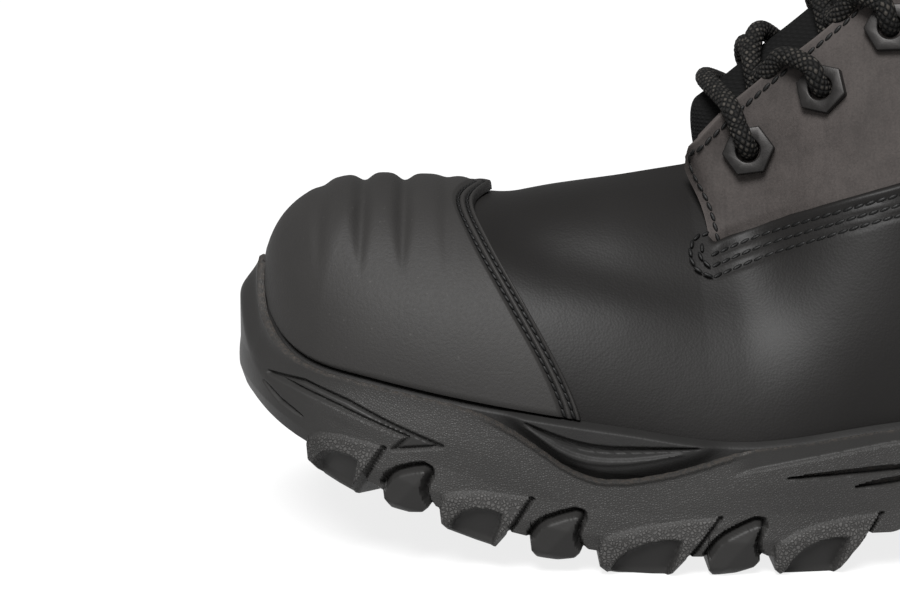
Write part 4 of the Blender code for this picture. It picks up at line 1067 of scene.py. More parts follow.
def build_midsole(colour):
    """Thin rim round the upper, swollen and grooved where the outsole's wave bares it."""
    side, row = loop_rows(foot_line, 0.7, 1.6, 7.25)
    values = foot_values(side, row)
    run = values["run"]
    rim, feather = rim_height(side, row), values["feather"]
    bare = smooth_step((rim_dip(run) - 1.0) / 3.5)
    share = np.linspace(0, 1, 64)[:, None]
    top = feather + MIDSOLE_SHOWS - TOE_SINK * (1 - smooth_step(row / 1.5))
    height = top - (top - rim + MIDSOLE_TUCK) * share
    wide = np.broadcast_to(run, height.shape)
    rounded = np.sin(np.clip((top - height) / MIDSOLE_ROUND, 0, 1) * math.pi / 2)
    swell = bare * LENS_SWELL * smooth_step((height - rim + 0.5) / 4)
    offset = (GAP + 0.2) * (1 - rounded) + (GAP + MIDSOLE_RIM + swell) * rounded
    groove = stroke(LENS_GROOVE, wide, height, 1.1, 0.6, tapered=True)
    ridge = stroke(LENS_RIDGE, wide, height, 1.2, 0.8, tapered=True)
    offset = offset + bare * (LENS_RIDGE_HEIGHT * ridge - LENS_GROOVE_DEPTH * groove)
    sides, rows = np.broadcast_to(side, height.shape), np.broadcast_to(row, height.shape)
    rise = rise_at_height(sides, rows, height)
    face = offset_wall(sides, rows, rise, offset)
    face = at_height(face, np.where(height < values["bottom"] + 0.4, height, face[..., 2]))
    back = offset_wall(side, row, rise[0], 0 * row + 0.1)
    foot = offset_wall(side, row, rise[-1], 0 * row + 0.1)
    points = np.concatenate([back[None], face, foot[None], back[None]])
    piece = smoothed(faces_out(wrapped_grid("midsole_rim", points)), 50)
    return dressed(piece, midsole_foam(colour), "midsole_foam", "midsole")


# Insole
# Rings of the footbed: how far in from its edge, and how far over the upper's lower edge.
FOOTBED = [
    (0.0, 0.2), (0.0, 2.2), (0.4, 3.1), (1.3, 3.6), (4.0, 3.5), (9.0, 3.0), (16.0, 2.7), (TO_SPINE, 2.6),
]
FOOTBED_GAP = 0.8
FOOTBED_DEPTH = 2.4


def build_insole(colour):
    """Footbed with a rounded edge and a dished heel."""
    side, row = loop_rows(foot_line, 2.0, 2.0, 6.0)
    edge = foot_line(side, row) - outward(side, row) * (UPPER_WALL + FOOTBED_GAP)
    rings = []
    for inset, lift in FOOTBED:
        ring = toward_spine(edge, inset)
        rings.append(at_height(ring, foot_floor(ring) + lift))
    rings.insert(0, rings[-1] - [0, 0, FOOTBED_DEPTH])
    points = np.array(rings)
    grid = wrapped_grid("footbed", points, flat=(points[..., 0], points[..., 1]))
    piece = smoothed(faces_out(grid), 60)
    return dressed(piece, woven_cloth("footbed_cloth", colour, 0.8), "insole_foam", "insole")


# Upper
WING_STITCH_DROPS = 2.3, 4.4, 6.5
FACING_DEPTH = 1.9
VAMP_DEPTH = 1.6
SLIT_ROWS = 5.95, 6.0
WING_FADE_ROWS = 0.08
# The vamp's soft flex crease as runs and heights.
VAMP_CREASE = [(56.0, 77.0), (65.7, 73.8), (75.7, 69.2), (93.7, 65.4), (111.6, 62.0), (140.0, 58.0)]
CREASE_WIDTH = 6.5
CREASE_DEPTH = 1.7
# The wing's rolled edge, its stitch channels and how deep the leather goes under the facing.
WING_ROLL_HEIGHT, WING_ROLL_DROP, WING_ROLL_WIDTH = 0.45, 1.0, 0.9
WING_CHANNEL_DEPTH, WING_CHANNEL_WIDTH = 0.4, 0.45
WING_UNDER_DEPTH = 2.6
# How far the vamp runs on above the wing seam and the facing below it.
VAMP_OVERLAP, FACING_OVERLAP = 4.0, 3.0
# Rows of points up each panel.
VAMP_LOW_ROWS, VAMP_HIGH_ROWS, FACING_ROWS, LINING_ROWS = 64, 34, 84, 40
# Rows close behind the facing's front edge, so that its rounding is even.
FACING_EDGE_ROWS = np.array([0.008, 0.02, 0.04, 0.07, 0.1])
CORNER_ROWS, CORNER_DROP, CORNER_POWER = 0.2, 0.07, 2.4
LINING_GAP, LINING_DEPTH, LINING_TOP = 0.3, 0.5, 0.985


def wing_drop(side, row, points):
    """Height below the wing seam, negative above it."""
    return seam_height(foot_values(side, row)["run"]) - points[..., 2]


def vamp_offset(side, row, points):
    """The crease, the wing's rolled edge and its channels, and the dip under the facing over the seam."""
    drop = wing_drop(side, row, points)
    winged = smooth_step((row - FLAP_EDGE_ROW) / WING_FADE_ROWS)
    under = smooth_step((0.35 - drop) / 1.3)
    roll = np.exp(-(((drop - WING_ROLL_DROP) / WING_ROLL_WIDTH) ** 2))
    channels = sum(np.exp(-(((drop - d) / WING_CHANNEL_WIDTH) ** 2)) for d in WING_STITCH_DROPS)
    gap, where = away_from_line(VAMP_CREASE, points[..., 0], points[..., 2])
    ends = smooth_step(where / 0.2) * smooth_step((1 - where) / 0.5)
    crease = np.exp(-((gap / CREASE_WIDTH) ** 2)) * ends
    wing = WING_ROLL_HEIGHT * roll - WING_CHANNEL_DEPTH * channels - WING_UNDER_DEPTH * under
    return winged * wing - CREASE_DEPTH * crease


def build_vamp(colour):
    """Vamp and wing in one piece of leather, slit where the facing comes through."""
    rows = even_girth_rows(foot_line, LATERAL, 0, LAST_ROW, 1.1)
    marks = [RIDGE_END_ROW, *SLIT_ROWS, FLAP_EDGE_ROW, FLAP_EDGE_ROW + WING_FADE_ROWS]
    rows = np.unique(np.concatenate([rows, marks]))
    row = np.concatenate([rows, rows[-2::-1]])
    side = np.concatenate([np.full(len(rows), LATERAL), np.full(len(rows) - 1, MEDIAL)])
    end = rise_at_height(side, row, seam_height(foot_values(side, row)["run"]) + VAMP_OVERLAP, grip=False)
    low = np.linspace(1, 0, VAMP_LOW_ROWS)[:, None]
    high = np.linspace(1, 0, VAMP_HIGH_ROWS)[1:, None]
    ahead = row < SLIT_ROWS[1] - 1e-6
    rise = np.concatenate([end * (1 - low**1.4), np.where(ahead, 1 - (1 - end) * high, end)])
    side, row = np.broadcast_to(side, rise.shape), np.broadcast_to(row, rise.shape)
    plain = wall_point(side, row, rise, grip=False)
    points = offset_wall(side, row, rise, vamp_offset(side, row, plain), grip=False)
    piece = wrapped_grid("vamp_and_wing", points)
    thickened(piece, VAMP_DEPTH)
    smoothed(piece, 50)
    return dressed(piece, smooth_leather(colour), "upper_leather", "upper")


def facing_places(step):
    """Sides and rows of the facing from its lateral front edge round the heel to its medial one."""
    rows = even_girth_rows(foot_line, LATERAL, FLAP_EDGE_ROW, LAST_ROW, step)
    rows = np.unique(np.concatenate([rows, FLAP_EDGE_ROW + FACING_EDGE_ROWS]))
    sides = np.concatenate([np.full(len(rows), LATERAL), np.full(len(rows) - 1, MEDIAL)])
    return sides, np.concatenate([rows, rows[-2::-1]])


def facing_top(row):
    """Rise of the facing's edge, rounded off at its front corner."""
    ahead = np.clip((row - FLAP_EDGE_ROW) / CORNER_ROWS, 0, 1)
    return 1 - CORNER_DROP * (1 - ahead) ** CORNER_POWER


def build_facing(colour):
    """Facings and quarter behind them, with a cut edge along the front and the throat."""
    side, row = facing_places(1.0)
    start = rise_at_height(side, row, seam_height(foot_values(side, row)["run"]) - FACING_OVERLAP)
    share = np.linspace(0, 1, FACING_ROWS)[:, None]
    share = share + 0.06 * np.sin(2 * math.pi * share) / math.pi
    rise = start + (facing_top(row) - start) * share
    side, row = np.broadcast_to(side, rise.shape), np.broadcast_to(row, rise.shape)
    points = offset_wall(side, row, rise, facing_offset(side, row, rise))
    edge = np.zeros(rise.shape)
    edge[-1] = 1.0
    edge[-2] = 0.35
    edge[:, [0, -1]] = 1.0
    flat = points[..., 0], points[..., 2]
    piece = wrapped_grid("facing_leather", points, flat=flat, marks={"edge": edge})
    thickened(piece, FACING_DEPTH)
    bevelled(piece, 0.35, 2, 50)
    smoothed(piece, 50)
    return dressed(piece, brushed_leather(colour), "upper_leather")


def build_lining(colour):
    """Cloth lining inside the upper."""
    rows = even_girth_rows(foot_line, LATERAL, 0, LAST_ROW, 2.4)
    rows = np.unique(np.concatenate([rows, [RIDGE_END_ROW, FLAP_ROW, COLLAR_ROW]]))
    row = np.concatenate([rows, rows[-2::-1]])
    side = np.concatenate([np.full(len(rows), LATERAL), np.full(len(rows) - 1, MEDIAL)])
    top = np.where(row <= RIDGE_END_ROW, 1.0, LINING_TOP)
    rise = np.linspace(0, 1, LINING_ROWS)[:, None] * top
    side, row = np.broadcast_to(side, rise.shape), np.broadcast_to(row, rise.shape)
    lift = np.where(row > FLAP_EDGE_ROW, flap_lift(side, row, rise), 0.0)
    points = offset_wall(side, row, rise, lift - UPPER_WALL - LINING_GAP)
    piece = wrapped_grid("lining_cloth", points, flat=(points[..., 0], points[..., 2]), flip=True)
    thickened(piece, LINING_DEPTH)
    smoothed(piece, 60)
    return dressed(piece, woven_cloth("lining_weave", colour, 1.1), "upper_leather")


# Toe cap
CAP_BACK = [80.1, 68.6, 60.3, 56.6, 61.0]
CAP_FRONT = 9.0
CAP_FRONT_ROW = 0.3
CAP_FOOT_GAP = 0.5
CAP_LIFT = 2.95
CAP_GROOVES = 1.6, 3.7
CAP_BAND = 5.2
VALLEY_RUNS = 21.0, 30.6, 40.2, 50.2
VALLEY_DEPTHS = 0.7, 1.7, 1.7, 0.7
CAP_DEPTH = 0.8
CAP_BAND_STEP = 0.35
CAP_GROOVE_DEPTH, CAP_GROOVE_WIDTH = 0.9, 0.55
CAP_RIDGE_HEIGHT = 0.8
# The edge starts at this lift and is round over these distances from the rear edge and the sole.
CAP_EDGE_LIFT, CAP_EDGE_BACK, CAP_EDGE_FOOT = 0.3, 0.7, 1.3
# Lift of the plain face on which distances over the cap are measured.
CAP_PLAIN_LIFT = 2.5
CAP_COLUMNS, CAP_SPREAD = 141, 1.6


def row_at_run(side, run, rise):
    """Row at which the wall passes a run at a given rise, by halving."""
    low, high = np.zeros_like(run), np.full_like(run, RIDGE_END_ROW)
    for _ in range(HALVINGS):
        middle = (low + high) / 2
        short = wall_point(side, middle, rise)[..., 0] < run
        low, high = np.where(short, middle, low), np.where(short, high, middle)
    return (low + high) / 2


def crown_rise(run):
    """How far up the front of the toe the midline passes a run. It is 1 behind the crown."""
    low, high = np.full_like(run, 0.3), np.ones_like(run)
    for _ in range(HALVINGS):
        middle = (low + high) / 2
        short = wall_point(np.full_like(run, LATERAL), 0 * run, middle)[..., 0] < run
        low, high = np.where(short, middle, low), np.where(short, high, middle)
    return np.where(run >= RIDGE[0].run, 1.0, high)


def cap_place(across, along):
    """Side, row and rise of a place on the cap, across from -1 to 1 and along from 0 at the toe to 1."""
    side = np.where(across < 0, LATERAL, MEDIAL)
    over = 1 - np.abs(across)
    rows = np.linspace(0, RIDGE_END_ROW, 300)
    feet = {}
    for half in (LATERAL, MEDIAL):
        sides = np.full(300, half)
        feet[half] = rise_at_height(sides, rows, foot_values(sides, rows)["feather"] + CAP_FOOT_GAP)

    def foot_rise(row):
        return np.where(side < 0, np.interp(row, rows, feet[LATERAL]), np.interp(row, rows, feet[MEDIAL]))

    back = spline(np.reshape(CAP_BACK, (-1, 1)), over * (len(CAP_BACK) - 1))[..., 0]
    run = CAP_FRONT + (back - CAP_FRONT) * along
    top = crown_rise(run)
    rise = 0.5 * top
    for _ in range(5):
        row = row_at_run(side, run, rise)
        foot = foot_rise(row)
        rise = foot + (top - foot) * over**0.8
    row = np.where(rise >= 1, np.maximum(row, POLE_ROW), row)
    row = np.where((over >= 1) & (rise < 1), 0.0, row)
    front = np.abs(across) * CAP_FRONT_ROW
    row = np.where(along <= 0, front, row)
    return side, row, np.where(along <= 0, foot_rise(front), rise)


def cap_relief(points, from_back, from_foot):
    """Height of the cap's face: rounded edges, the sewn band behind and the valleys between ridges."""
    run, height = points[..., 0], points[..., 2]
    face = CAP_LIFT - CAP_BAND_STEP * smooth_step((CAP_BAND - from_back) / 0.7)
    for groove in CAP_GROOVES:
        face = face - CAP_GROOVE_DEPTH * np.exp(-(((from_back - groove) / CAP_GROOVE_WIDTH) ** 2))
    fade = smooth_step((height - 63) / 15)
    ridged = smooth_step((run - 16) / 8) * smooth_step((57 - run) / 8)
    face = face + CAP_RIDGE_HEIGHT * fade * ridged
    wide = 0.7 + 1.3 * fade
    for valley, depth in zip(VALLEY_RUNS, VALLEY_DEPTHS):
        face = face - depth * fade * np.exp(-(((run - valley) / wide) ** 2))
    edge = np.minimum(from_back / CAP_EDGE_BACK, from_foot / CAP_EDGE_FOOT)
    rounded = np.sqrt(np.clip(1 - (1 - np.clip(edge, 0, 1)) ** 2, 0, 1))
    return CAP_EDGE_LIFT + (face - CAP_EDGE_LIFT) * rounded


@functools.cache
def cap_grid():
    """Places over the cap, its plain face, and how far each is from the rear edge and from the sole."""
    across = np.tanh(np.linspace(-CAP_SPREAD, CAP_SPREAD, CAP_COLUMNS)) / math.tanh(CAP_SPREAD)
    toe, face, band = np.linspace(0.006, 0.12, 9), np.linspace(0.135, 0.84, 96), np.linspace(0.846, 1, 48)
    across, along = np.meshgrid(across, np.concatenate([[0], toe, face, band]))
    side, row, rise = cap_place(across, along)
    plain = offset_wall(side, row, rise, CAP_PLAIN_LIFT + 0 * row)
    steps = np.linalg.norm(np.diff(plain, axis=0), axis=-1)
    from_back = np.concatenate([np.cumsum(steps[::-1], axis=0)[::-1], np.zeros((1, plain.shape[1]))])
    from_foot = plain[..., 2] - foot_values(side, row)["feather"] - CAP_FOOT_GAP + 0.25
    return side, row, rise, plain, from_back, np.maximum(from_foot, 0)


def build_toe_cap(colour):
    side, row, rise, plain, from_back, from_foot = cap_grid()
    points = offset_wall(side, row, rise, cap_relief(plain, from_back, from_foot))
    piece = wrapped_grid("toe_cap_moulding", points, flip=True)
    thickened(piece, CAP_DEPTH)
    smoothed(piece, 60)
    return dressed(piece, moulded_cap(colour), "cap_rubber", "toe_cap")


# Tongue
TONGUE_GAP = 1.8
TONGUE_CROWN = 11.0
TONGUE_DEPTH = 4.0
TONGUE_START = 7.0
TONGUE_FRONT = np.array([-2.5, 0.0, -2.0])
TONGUE_ROOT = np.array([-0.5, 0.0, -12.0])
TONGUE_TIP = np.array([3.0, 0.0, 12.0])
TONGUE_END = 120
TONGUE_ROWS, TONGUE_BEND_ROWS, TONGUE_COLUMNS = 60, 9, 49
# Rises on the wall under the facing that each side of the tongue follows.
TONGUE_RISES = np.array([0.68, 0.78, 0.88, 0.95])
# Numbers of the last point across the tongue and of the crown between its sides.
TONGUE_LAST = 8
TONGUE_MIDDLE = 4
TONGUE_SEAM, TONGUE_SEAM_WIDTH, TONGUE_SEAM_DEPTH = 0.72, 0.035, 0.9
TONGUE_HALF_WIDTH = 40


def throat_row(side, distance):
    """Row at a distance along the throat's edge from the facing's corner."""
    rows = np.linspace(FLAP_ROW, COLLAR_ROW, 200)
    points = top_line(np.full(200, side), rows)
    length = np.concatenate([[0], np.cumsum(np.linalg.norm(np.diff(points, axis=0), axis=1))])
    return np.interp(distance, length, rows)


def throat_normal(row):
    """Unit vector on the midline, square to the throat's edge and out of the boot."""
    ends = np.clip([row - 0.05, row + 0.05], FLAP_ROW, COLLAR_ROW)
    behind, ahead = top_line(np.full(2, LATERAL), ends)
    along = ahead - behind
    return unit(np.array([-along[2], 0.0, along[0]]))


def tongue_section(row, across):
    """Points across the tongue at a throat row, from 0 under one facing over the crown to the other."""
    count = len(TONGUE_RISES)
    rows = np.full(count, row)
    under = np.full(count, -UPPER_WALL - TONGUE_GAP)
    lateral = offset_wall(np.full(count, LATERAL), rows, TONGUE_RISES, under)
    medial = offset_wall(np.full(count, MEDIAL), rows, TONGUE_RISES, under)
    crown = (lateral[-1] + medial[-1]) / 2 + throat_normal(row) * TONGUE_CROWN
    crown[1] = 0.0
    points = np.concatenate([lateral, crown[None], medial[::-1]])
    return spline(points, np.asarray(across, float))


def build_tongue(colour):
    """Padded cloth tongue that stands above the collar, with a bound rounded edge."""
    rows = throat_row(LATERAL, np.linspace(TONGUE_START, TONGUE_END, TONGUE_ROWS))
    places = np.linspace(0, TONGUE_LAST, TONGUE_COLUMNS)
    sections = np.array([tongue_section(r, places) for r in rows])
    bend = np.linspace(1, 0, TONGUE_BEND_ROWS)[:-1, None, None]
    front = sections[0] + 2 * bend * (1 - bend) * TONGUE_FRONT + bend**2 * TONGUE_ROOT
    rise = np.linspace(0, 1, TONGUE_BEND_ROWS)[1:, None, None]
    points = np.concatenate([front, sections, sections[-1] + rise * TONGUE_TIP])
    across = np.linspace(-1, 1, TONGUE_COLUMNS)
    normals = unit(np.cross(np.gradient(points, axis=1), np.gradient(points, axis=0)))
    normals = normals * np.sign(normals[..., :1] * -1 + 1e-9)
    seams = np.exp(-(((np.abs(across) - TONGUE_SEAM) / TONGUE_SEAM_WIDTH) ** 2))
    points = points - normals * (TONGUE_SEAM_DEPTH * seams)[None, :, None]
    flat = np.broadcast_to(across * TONGUE_HALF_WIDTH, points.shape[:2]), points[..., 2]
    piece = wrapped_grid("tongue_pad", points, flat=flat, flip=True)
    thickened(piece, TONGUE_DEPTH)
    bevelled(piece, 1.5, 4, 60)
    smoothed(piece, 60)
    dressed(piece, woven_cloth("tongue_weave", colour, 0.9), "tongue_cloth", "tongue")
    return piece


# Eyelets
EYELET_PAIRS = 5
EYELET_START = 11.4
EYELET_PITCH = 21.3
EYELET_INSET = 11.6
EYELET_TURNS = 0.0, 25.0, 10.0, 5.0, 0.0
EYELET_SEAT = 0.7
EYELET_PLATE = 1.1
EYELET_SINK = 1.2
# A little further out than a plate's corners.
EYELET_REACH = 6.4


def eyelet_row(side, number):
    return throat_row(side, EYELET_START + EYELET_PITCH * number)


def eyelet_frame(side, number):
    """Middle of an eyelet on the facing, its unit normal, the edge's direction and the third one."""
    row = eyelet_row(side, number)
    rises = np.linspace(1.0, 0.5, 200)
    down = facing_point(np.full(200, side), np.full(200, row), rises)
    rise = np.interp(EYELET_INSET, np.linalg.norm(down - down[0], axis=1), rises)
    middle = facing_point(side, row, rise)[0]
    along = unit(facing_point(side, row + 0.05, rise)[0] - facing_point(side, row - 0.05, rise)[0])
    upward = facing_point(side, row, rise + 0.02)[0] - facing_point(side, row, rise - 0.02)[0]
    normal = unit(np.cross(along, upward))
    normal = normal * np.sign(normal[1] * side)
    return middle, normal, along, unit(upward)


def eyelet_seat(side, number):
    """Height over the eyelet's middle at which a flat plate clears the curved facing."""
    middle, normal, along, _ = eyelet_frame(side, number)
    third = np.cross(normal, along)
    near = eyelet_row(side, number) + np.linspace(-0.4, 0.4, 33)
    rows, rises = np.meshgrid(near, np.linspace(0.5, 1, 60))
    rows, rises = rows.ravel(), rises.ravel()
    away = facing_point(np.full(len(rows), side), rows, rises) - middle
    reach = np.hypot(away @ along, away @ third)
    return EYELET_SEAT + np.max((away @ normal)[reach < EYELET_REACH])


def build_eyelets(colour, flats, hole):
    """Six-sided plates with a hole, one for each place along the throat."""
    nothing_selected()
    depth = (EYELET_PLATE + EYELET_SINK) * MM
    bpy.ops.mesh.primitive_cylinder_add(vertices=6, radius=flats / 2 / math.cos(math.pi / 6), depth=depth)
    plate = bpy.context.object
    nothing_selected()
    bpy.ops.mesh.primitive_cylinder_add(vertices=48, radius=hole / 2, depth=4 * depth)
    cutter = bpy.context.object
    modified(plate, "BOOLEAN", object=cutter, operation="DIFFERENCE", solver="EXACT")
    bpy.data.objects.remove(cutter)
    bevelled(plate, 0.35, 3, 40)
    model = smoothed(plate, 40)
    places = []
    for side in (LATERAL, MEDIAL):
        for number in range(EYELET_PAIRS):
            middle, normal, along, _ = eyelet_frame(side, number)
            turn = math.radians(EYELET_TURNS[number]) * side
            aim = along * math.cos(turn) + np.cross(normal, along) * math.sin(turn)
            height = eyelet_seat(side, number) + (EYELET_PLATE - EYELET_SINK) / 2
            places.append(standing(middle + normal * height, aim, normal))
    piece = copied(model, places, "eyelet_plates")
    nodes = [f"eyelet_{name}_{k + 1}" for name in ("lateral", "medial") for k in range(EYELET_PAIRS)]
    return dressed(piece, dark_metal(colour), "eyelet_metal", *nodes)


# Lace
LACE_CLEAR = 0.2
LACE_OVER_EDGE = -1.2
# The two strands of a crossing, as shares of the way from one pair of eyelets to the next.
Crossing = namedtuple("Crossing", "start crown flank edge lift")
UPPER_STRAND = Crossing(0.5, 0.72, 0.8, 0.88, 0.5)
LOWER_STRAND = Crossing(0.38, 0.52, 0.45, 0.76, 0.0)
LACE_STEP = 0.42
LACE_YARNS, LACE_PITCH = 8, 3.0
# The cord's radius between its yarns and how much they bulge, as shares.
LACE_CORE, LACE_BULGE = 0.95, 0.06


def over_edge(side, number, lift, radius):
    """A point over the throat's edge, this far out from an eyelet's row."""
    row = eyelet_row(side, number)
    edge = top_line(np.array([side]), np.array([row]))[0]
    away = unit(throat_normal(row) + np.array([0.0, 0.8 * side, 0.0]))
    return edge + away * (radius + lift)


def over_tongue(number, across, radius, lift=0.0):
    """A point over the tongue level with an eyelet, across it from -1 on the lateral side to 1."""
    row = eyelet_row(LATERAL, number)
    place = tongue_section(row, [TONGUE_MIDDLE + across])[0]
    away = unit(throat_normal(row) + np.array([0.0, across, 0.0]))
    return place + away * (radius + LACE_CLEAR + lift)


def into_hole(side, number, radius):
    """Points of the lace from the throat's side of an eyelet down through its hole."""
    middle, normal, _, upward = eyelet_frame(side, number)
    top = eyelet_seat(side, number) + EYELET_PLATE
    return [
        middle + upward * 5.2 + normal * (top + radius * 0.75),
        middle + upward * 1.6 + normal * (top + radius * 0.2),
        middle - normal * 1.2,
        middle - normal * (UPPER_WALL + 2.0) + upward * 1.2,
    ]


def lace_side(start, radius):
    """Points of one half of the lace, from the lowest bar up through every crossing to the top eyelet."""
    side = start
    points = [over_edge(side, 0, LACE_OVER_EDGE, radius), *into_hole(side, 0, radius)]
    for number in range(EYELET_PAIRS - 1):
        crossing = UPPER_STRAND if side < 0 else LOWER_STRAND
        inside_edge = over_edge(side, number + 0.25, -2.5, radius) * np.array([1.0, 0.72, 1.0])
        points.append(inside_edge - throat_normal(eyelet_row(side, number + 0.25)) * 4.0)
        points.append(over_tongue(number + crossing.start, 0.4 * side, radius, crossing.lift / 2))
        points.append(over_tongue(number + crossing.crown, 0.0, radius, crossing.lift))
        side = -side
        points.append(over_tongue(number + crossing.flank, 0.7 * side, radius, -0.4))
        points.append(over_edge(side, number + crossing.edge, LACE_OVER_EDGE, radius))
        points += into_hole(side, number + 1, radius)
    return points


def build_lace(colour, fleck_and_highlight, diameter):
    """One braided cord through all the eyelets."""
    radius = diameter / 2 / MM
    path = lace_side(LATERAL, radius)[::-1] + [over_tongue(0, 0.0, radius)] + lace_side(MEDIAL, radius)
    dense = spline(np.array(path), np.linspace(0, len(path) - 1, len(path) * 40))
    length = np.concatenate([[0], np.cumsum(np.linalg.norm(np.diff(dense, axis=0), axis=1))])
    along = np.arange(0, length[-1], LACE_STEP)
    centre = np.stack([np.interp(along, length, dense[:, k]) for k in range(3)], -1)
    tangent = unit(np.gradient(centre, axis=0))
    normal = [unit(np.cross(tangent[0], [0.0, 0.0, 1.0]))]
    for direction in tangent[1:]:
        normal.append(unit(normal[-1] - direction * (normal[-1] @ direction)))
    normal = np.array(normal)
    third = np.cross(tangent, normal)
    turn = np.linspace(0, 2 * math.pi, 33)
    one = turn / (2 * math.pi) * LACE_YARNS + along[:, None] / LACE_PITCH * 2
    other = turn / (2 * math.pi) * LACE_YARNS - along[:, None] / LACE_PITCH * 2
    bulge = np.sin(math.pi * one) ** 2 * np.sin(math.pi * other) ** 2
    reach = radius * (LACE_CORE + LACE_BULGE * np.sqrt(bulge))[..., None]
    around = normal[:, None] * np.cos(turn)[:, None] + third[:, None] * np.sin(turn)[:, None]
    points = centre[:, None] + around * reach
    ends = np.repeat(centre[[0, -1], None], len(turn), axis=1)
    points = np.concatenate([ends[:1], points, ends[1:]])
    flat = tuple(np.concatenate([v[:1], v, v[-1:]]) for v in (one, other))
    piece = smoothed(faces_out(wrapped_grid("lace_cord", points, flat=flat)), 60)
    nodes = ["lace_bar"] + [f"lace_cross_{k + 1}" for k in range(EYELET_PAIRS - 1)]
    return dressed(piece, braided_cord(colour, fleck_and_highlight), "lace_cord", *nodes)


# Stitching
WING_START_ROW = FLAP_EDGE_ROW - 0.01
WING_LOOP_ROWS = 0.04
# How far the stitches' middles stand over the leather.
WING_STITCH_LIFT, LOOP_STITCH_LIFT, FACING_STITCH_LIFT, CAP_STITCH_LIFT = 0.12, 0.15, 0.1, 0.4
# How far the facing's row is from the front edge in rows and from the throat's edge in rises.
FACING_STITCH_ROWS, FACING_STITCH_RISE = 0.07, 0.028
STITCH_SLANT = 0.16


def even_path(points, normals, step):
    """Places a step apart along a path, with the path's direction and normal at each."""
    length = np.concatenate([[0], np.cumsum(np.linalg.norm(np.diff(points, axis=0), axis=1))])
    along = np.arange(step / 2, length[-1], step)
    place = np.stack([np.interp(along, length, points[:, k]) for k in range(3)], -1)
    normal = unit(np.stack([np.interp(along, length, normals[:, k]) for k in range(3)], -1))
    return place, unit(np.gradient(place, axis=0)), normal


def wing_stitches(step):
    """Three rows below the wing seam on each side."""
    places = []
    rows = np.linspace(WING_START_ROW, LAST_ROW, 500)
    for side in (LATERAL, MEDIAL):
        sides = np.full(500, side)
        for drop in WING_STITCH_DROPS:
            height = seam_height(foot_values(sides, rows)["run"]) - drop
            rise = rise_at_height(sides, rows, height, grip=False)
            plain = wall_point(sides, rows, rise, grip=False)
            lift = vamp_offset(sides, rows, plain) + WING_STITCH_LIFT
            path = offset_wall(sides, rows, rise, lift, grip=False)
            places += list(zip(*even_path(path, wall_normal(sides, rows, rise, grip=False), step)))
    return places


def facing_stitches(step):
    """One row a little inside the facing's front edge and throat edge."""
    places = []
    for side in (LATERAL, MEDIAL):
        front = np.full(120, FLAP_EDGE_ROW + FACING_STITCH_ROWS)
        throat = np.linspace(FLAP_EDGE_ROW + 0.09, COLLAR_ROW - 0.05, 400)
        sides = np.full(520, side)
        height = seam_height(foot_values(sides[:1], front[:1])["run"]) + 0.5
        seam = rise_at_height(sides[:1], front[:1], height)[0]
        rows = np.concatenate([front, throat])
        top = facing_top(rows) - FACING_STITCH_RISE
        rises = np.concatenate([np.linspace(seam, top[0] - 0.03, 120), top[120:]])
        lift = facing_offset(sides, rows, rises) + FACING_STITCH_LIFT
        path = offset_wall(sides, rows, rises, lift)
        places += list(zip(*even_path(path, wall_normal(sides, rows, rises), step)))
    return places


def cap_stitches(step):
    """Two rows in the grooves of the cap's sewn band."""
    side, row, rise, plain, from_back, from_foot = cap_grid()
    lift = cap_relief(plain, from_back, from_foot) + CAP_STITCH_LIFT
    points = offset_wall(side, row, rise, lift)
    normals = wall_normal(side, row, np.minimum(rise, 0.995))
    places = []
    for groove in CAP_GROOVES:
        path, facing = [], []
        for column in range(points.shape[1]):
            away = from_back[::-1, column]
            path.append([np.interp(groove, away, points[::-1, column, k]) for k in range(3)])
            facing.append([np.interp(groove, away, normals[::-1, column, k]) for k in range(3)])
        places += list(zip(*even_path(np.array(path), np.array(facing), step)))
    return places


def loop_stitches(step):
    """Front ends of the wing's two lower rows, which turn up round the highest one to the facing."""
    places = []
    middle = WING_STITCH_DROPS[0]
    for side in (LATERAL, MEDIAL):
        start = foot_values(side, np.array([WING_START_ROW]))["run"][0]
        for reach in np.array(WING_STITCH_DROPS[1:]) - middle:
            turn = np.linspace(-math.pi / 2, math.pi / 2, 40)
            rows = WING_START_ROW - WING_LOOP_ROWS * np.cos(turn) * reach
            sides = np.full(len(turn), side)
            heights = seam_height(start + 0 * rows) - middle + reach * np.sin(turn)
            rises = rise_at_height(sides, rows, heights, grip=False)
            path = offset_wall(sides, rows, rises, np.full(len(turn), LOOP_STITCH_LIFT), grip=False)
            places += list(zip(*even_path(path, wall_normal(sides, rows, rises, grip=False), step)))
    return places


def stitched(name, places, size, finish):
    """One rounded stitch, modelled once and laid along every place."""
    nothing_selected()
    bpy.ops.mesh.primitive_uv_sphere_add(segments=8, ring_count=6, radius=0.5)
    model = bpy.context.object
    only(model)
    bpy.ops.object.mode_set(mode="EDIT")
    bpy.ops.mesh.select_all(action="SELECT")
    bpy.ops.transform.rotate(value=math.pi / 2, orient_axis="Y", center_override=(0, 0, 0))
    bpy.ops.transform.resize(value=size, center_override=(0, 0, 0))
    bpy.ops.object.mode_set(mode="OBJECT")
    matrices = []
    for place, along, normal in places:
        lean = along * math.cos(STITCH_SLANT) + np.cross(normal, along) * math.sin(STITCH_SLANT)
        matrices.append(standing(place, lean, normal))
    piece = smoothed(copied(model, matrices, name), 80)
    return dressed(piece, finish, "upper_leather")


# Stage
FLOOR_SIZE = 14.0
FLOOR_GLOW = 0.95
SKY_STRENGTH = 0.3
SUN_STRENGTH = 6.8
# In degrees.
SUN_SPREAD, SUN_TILT, SUN_TURN = 28, 38, -15
BOOT_MIDDLE = -0.08, 0.0, 0.06
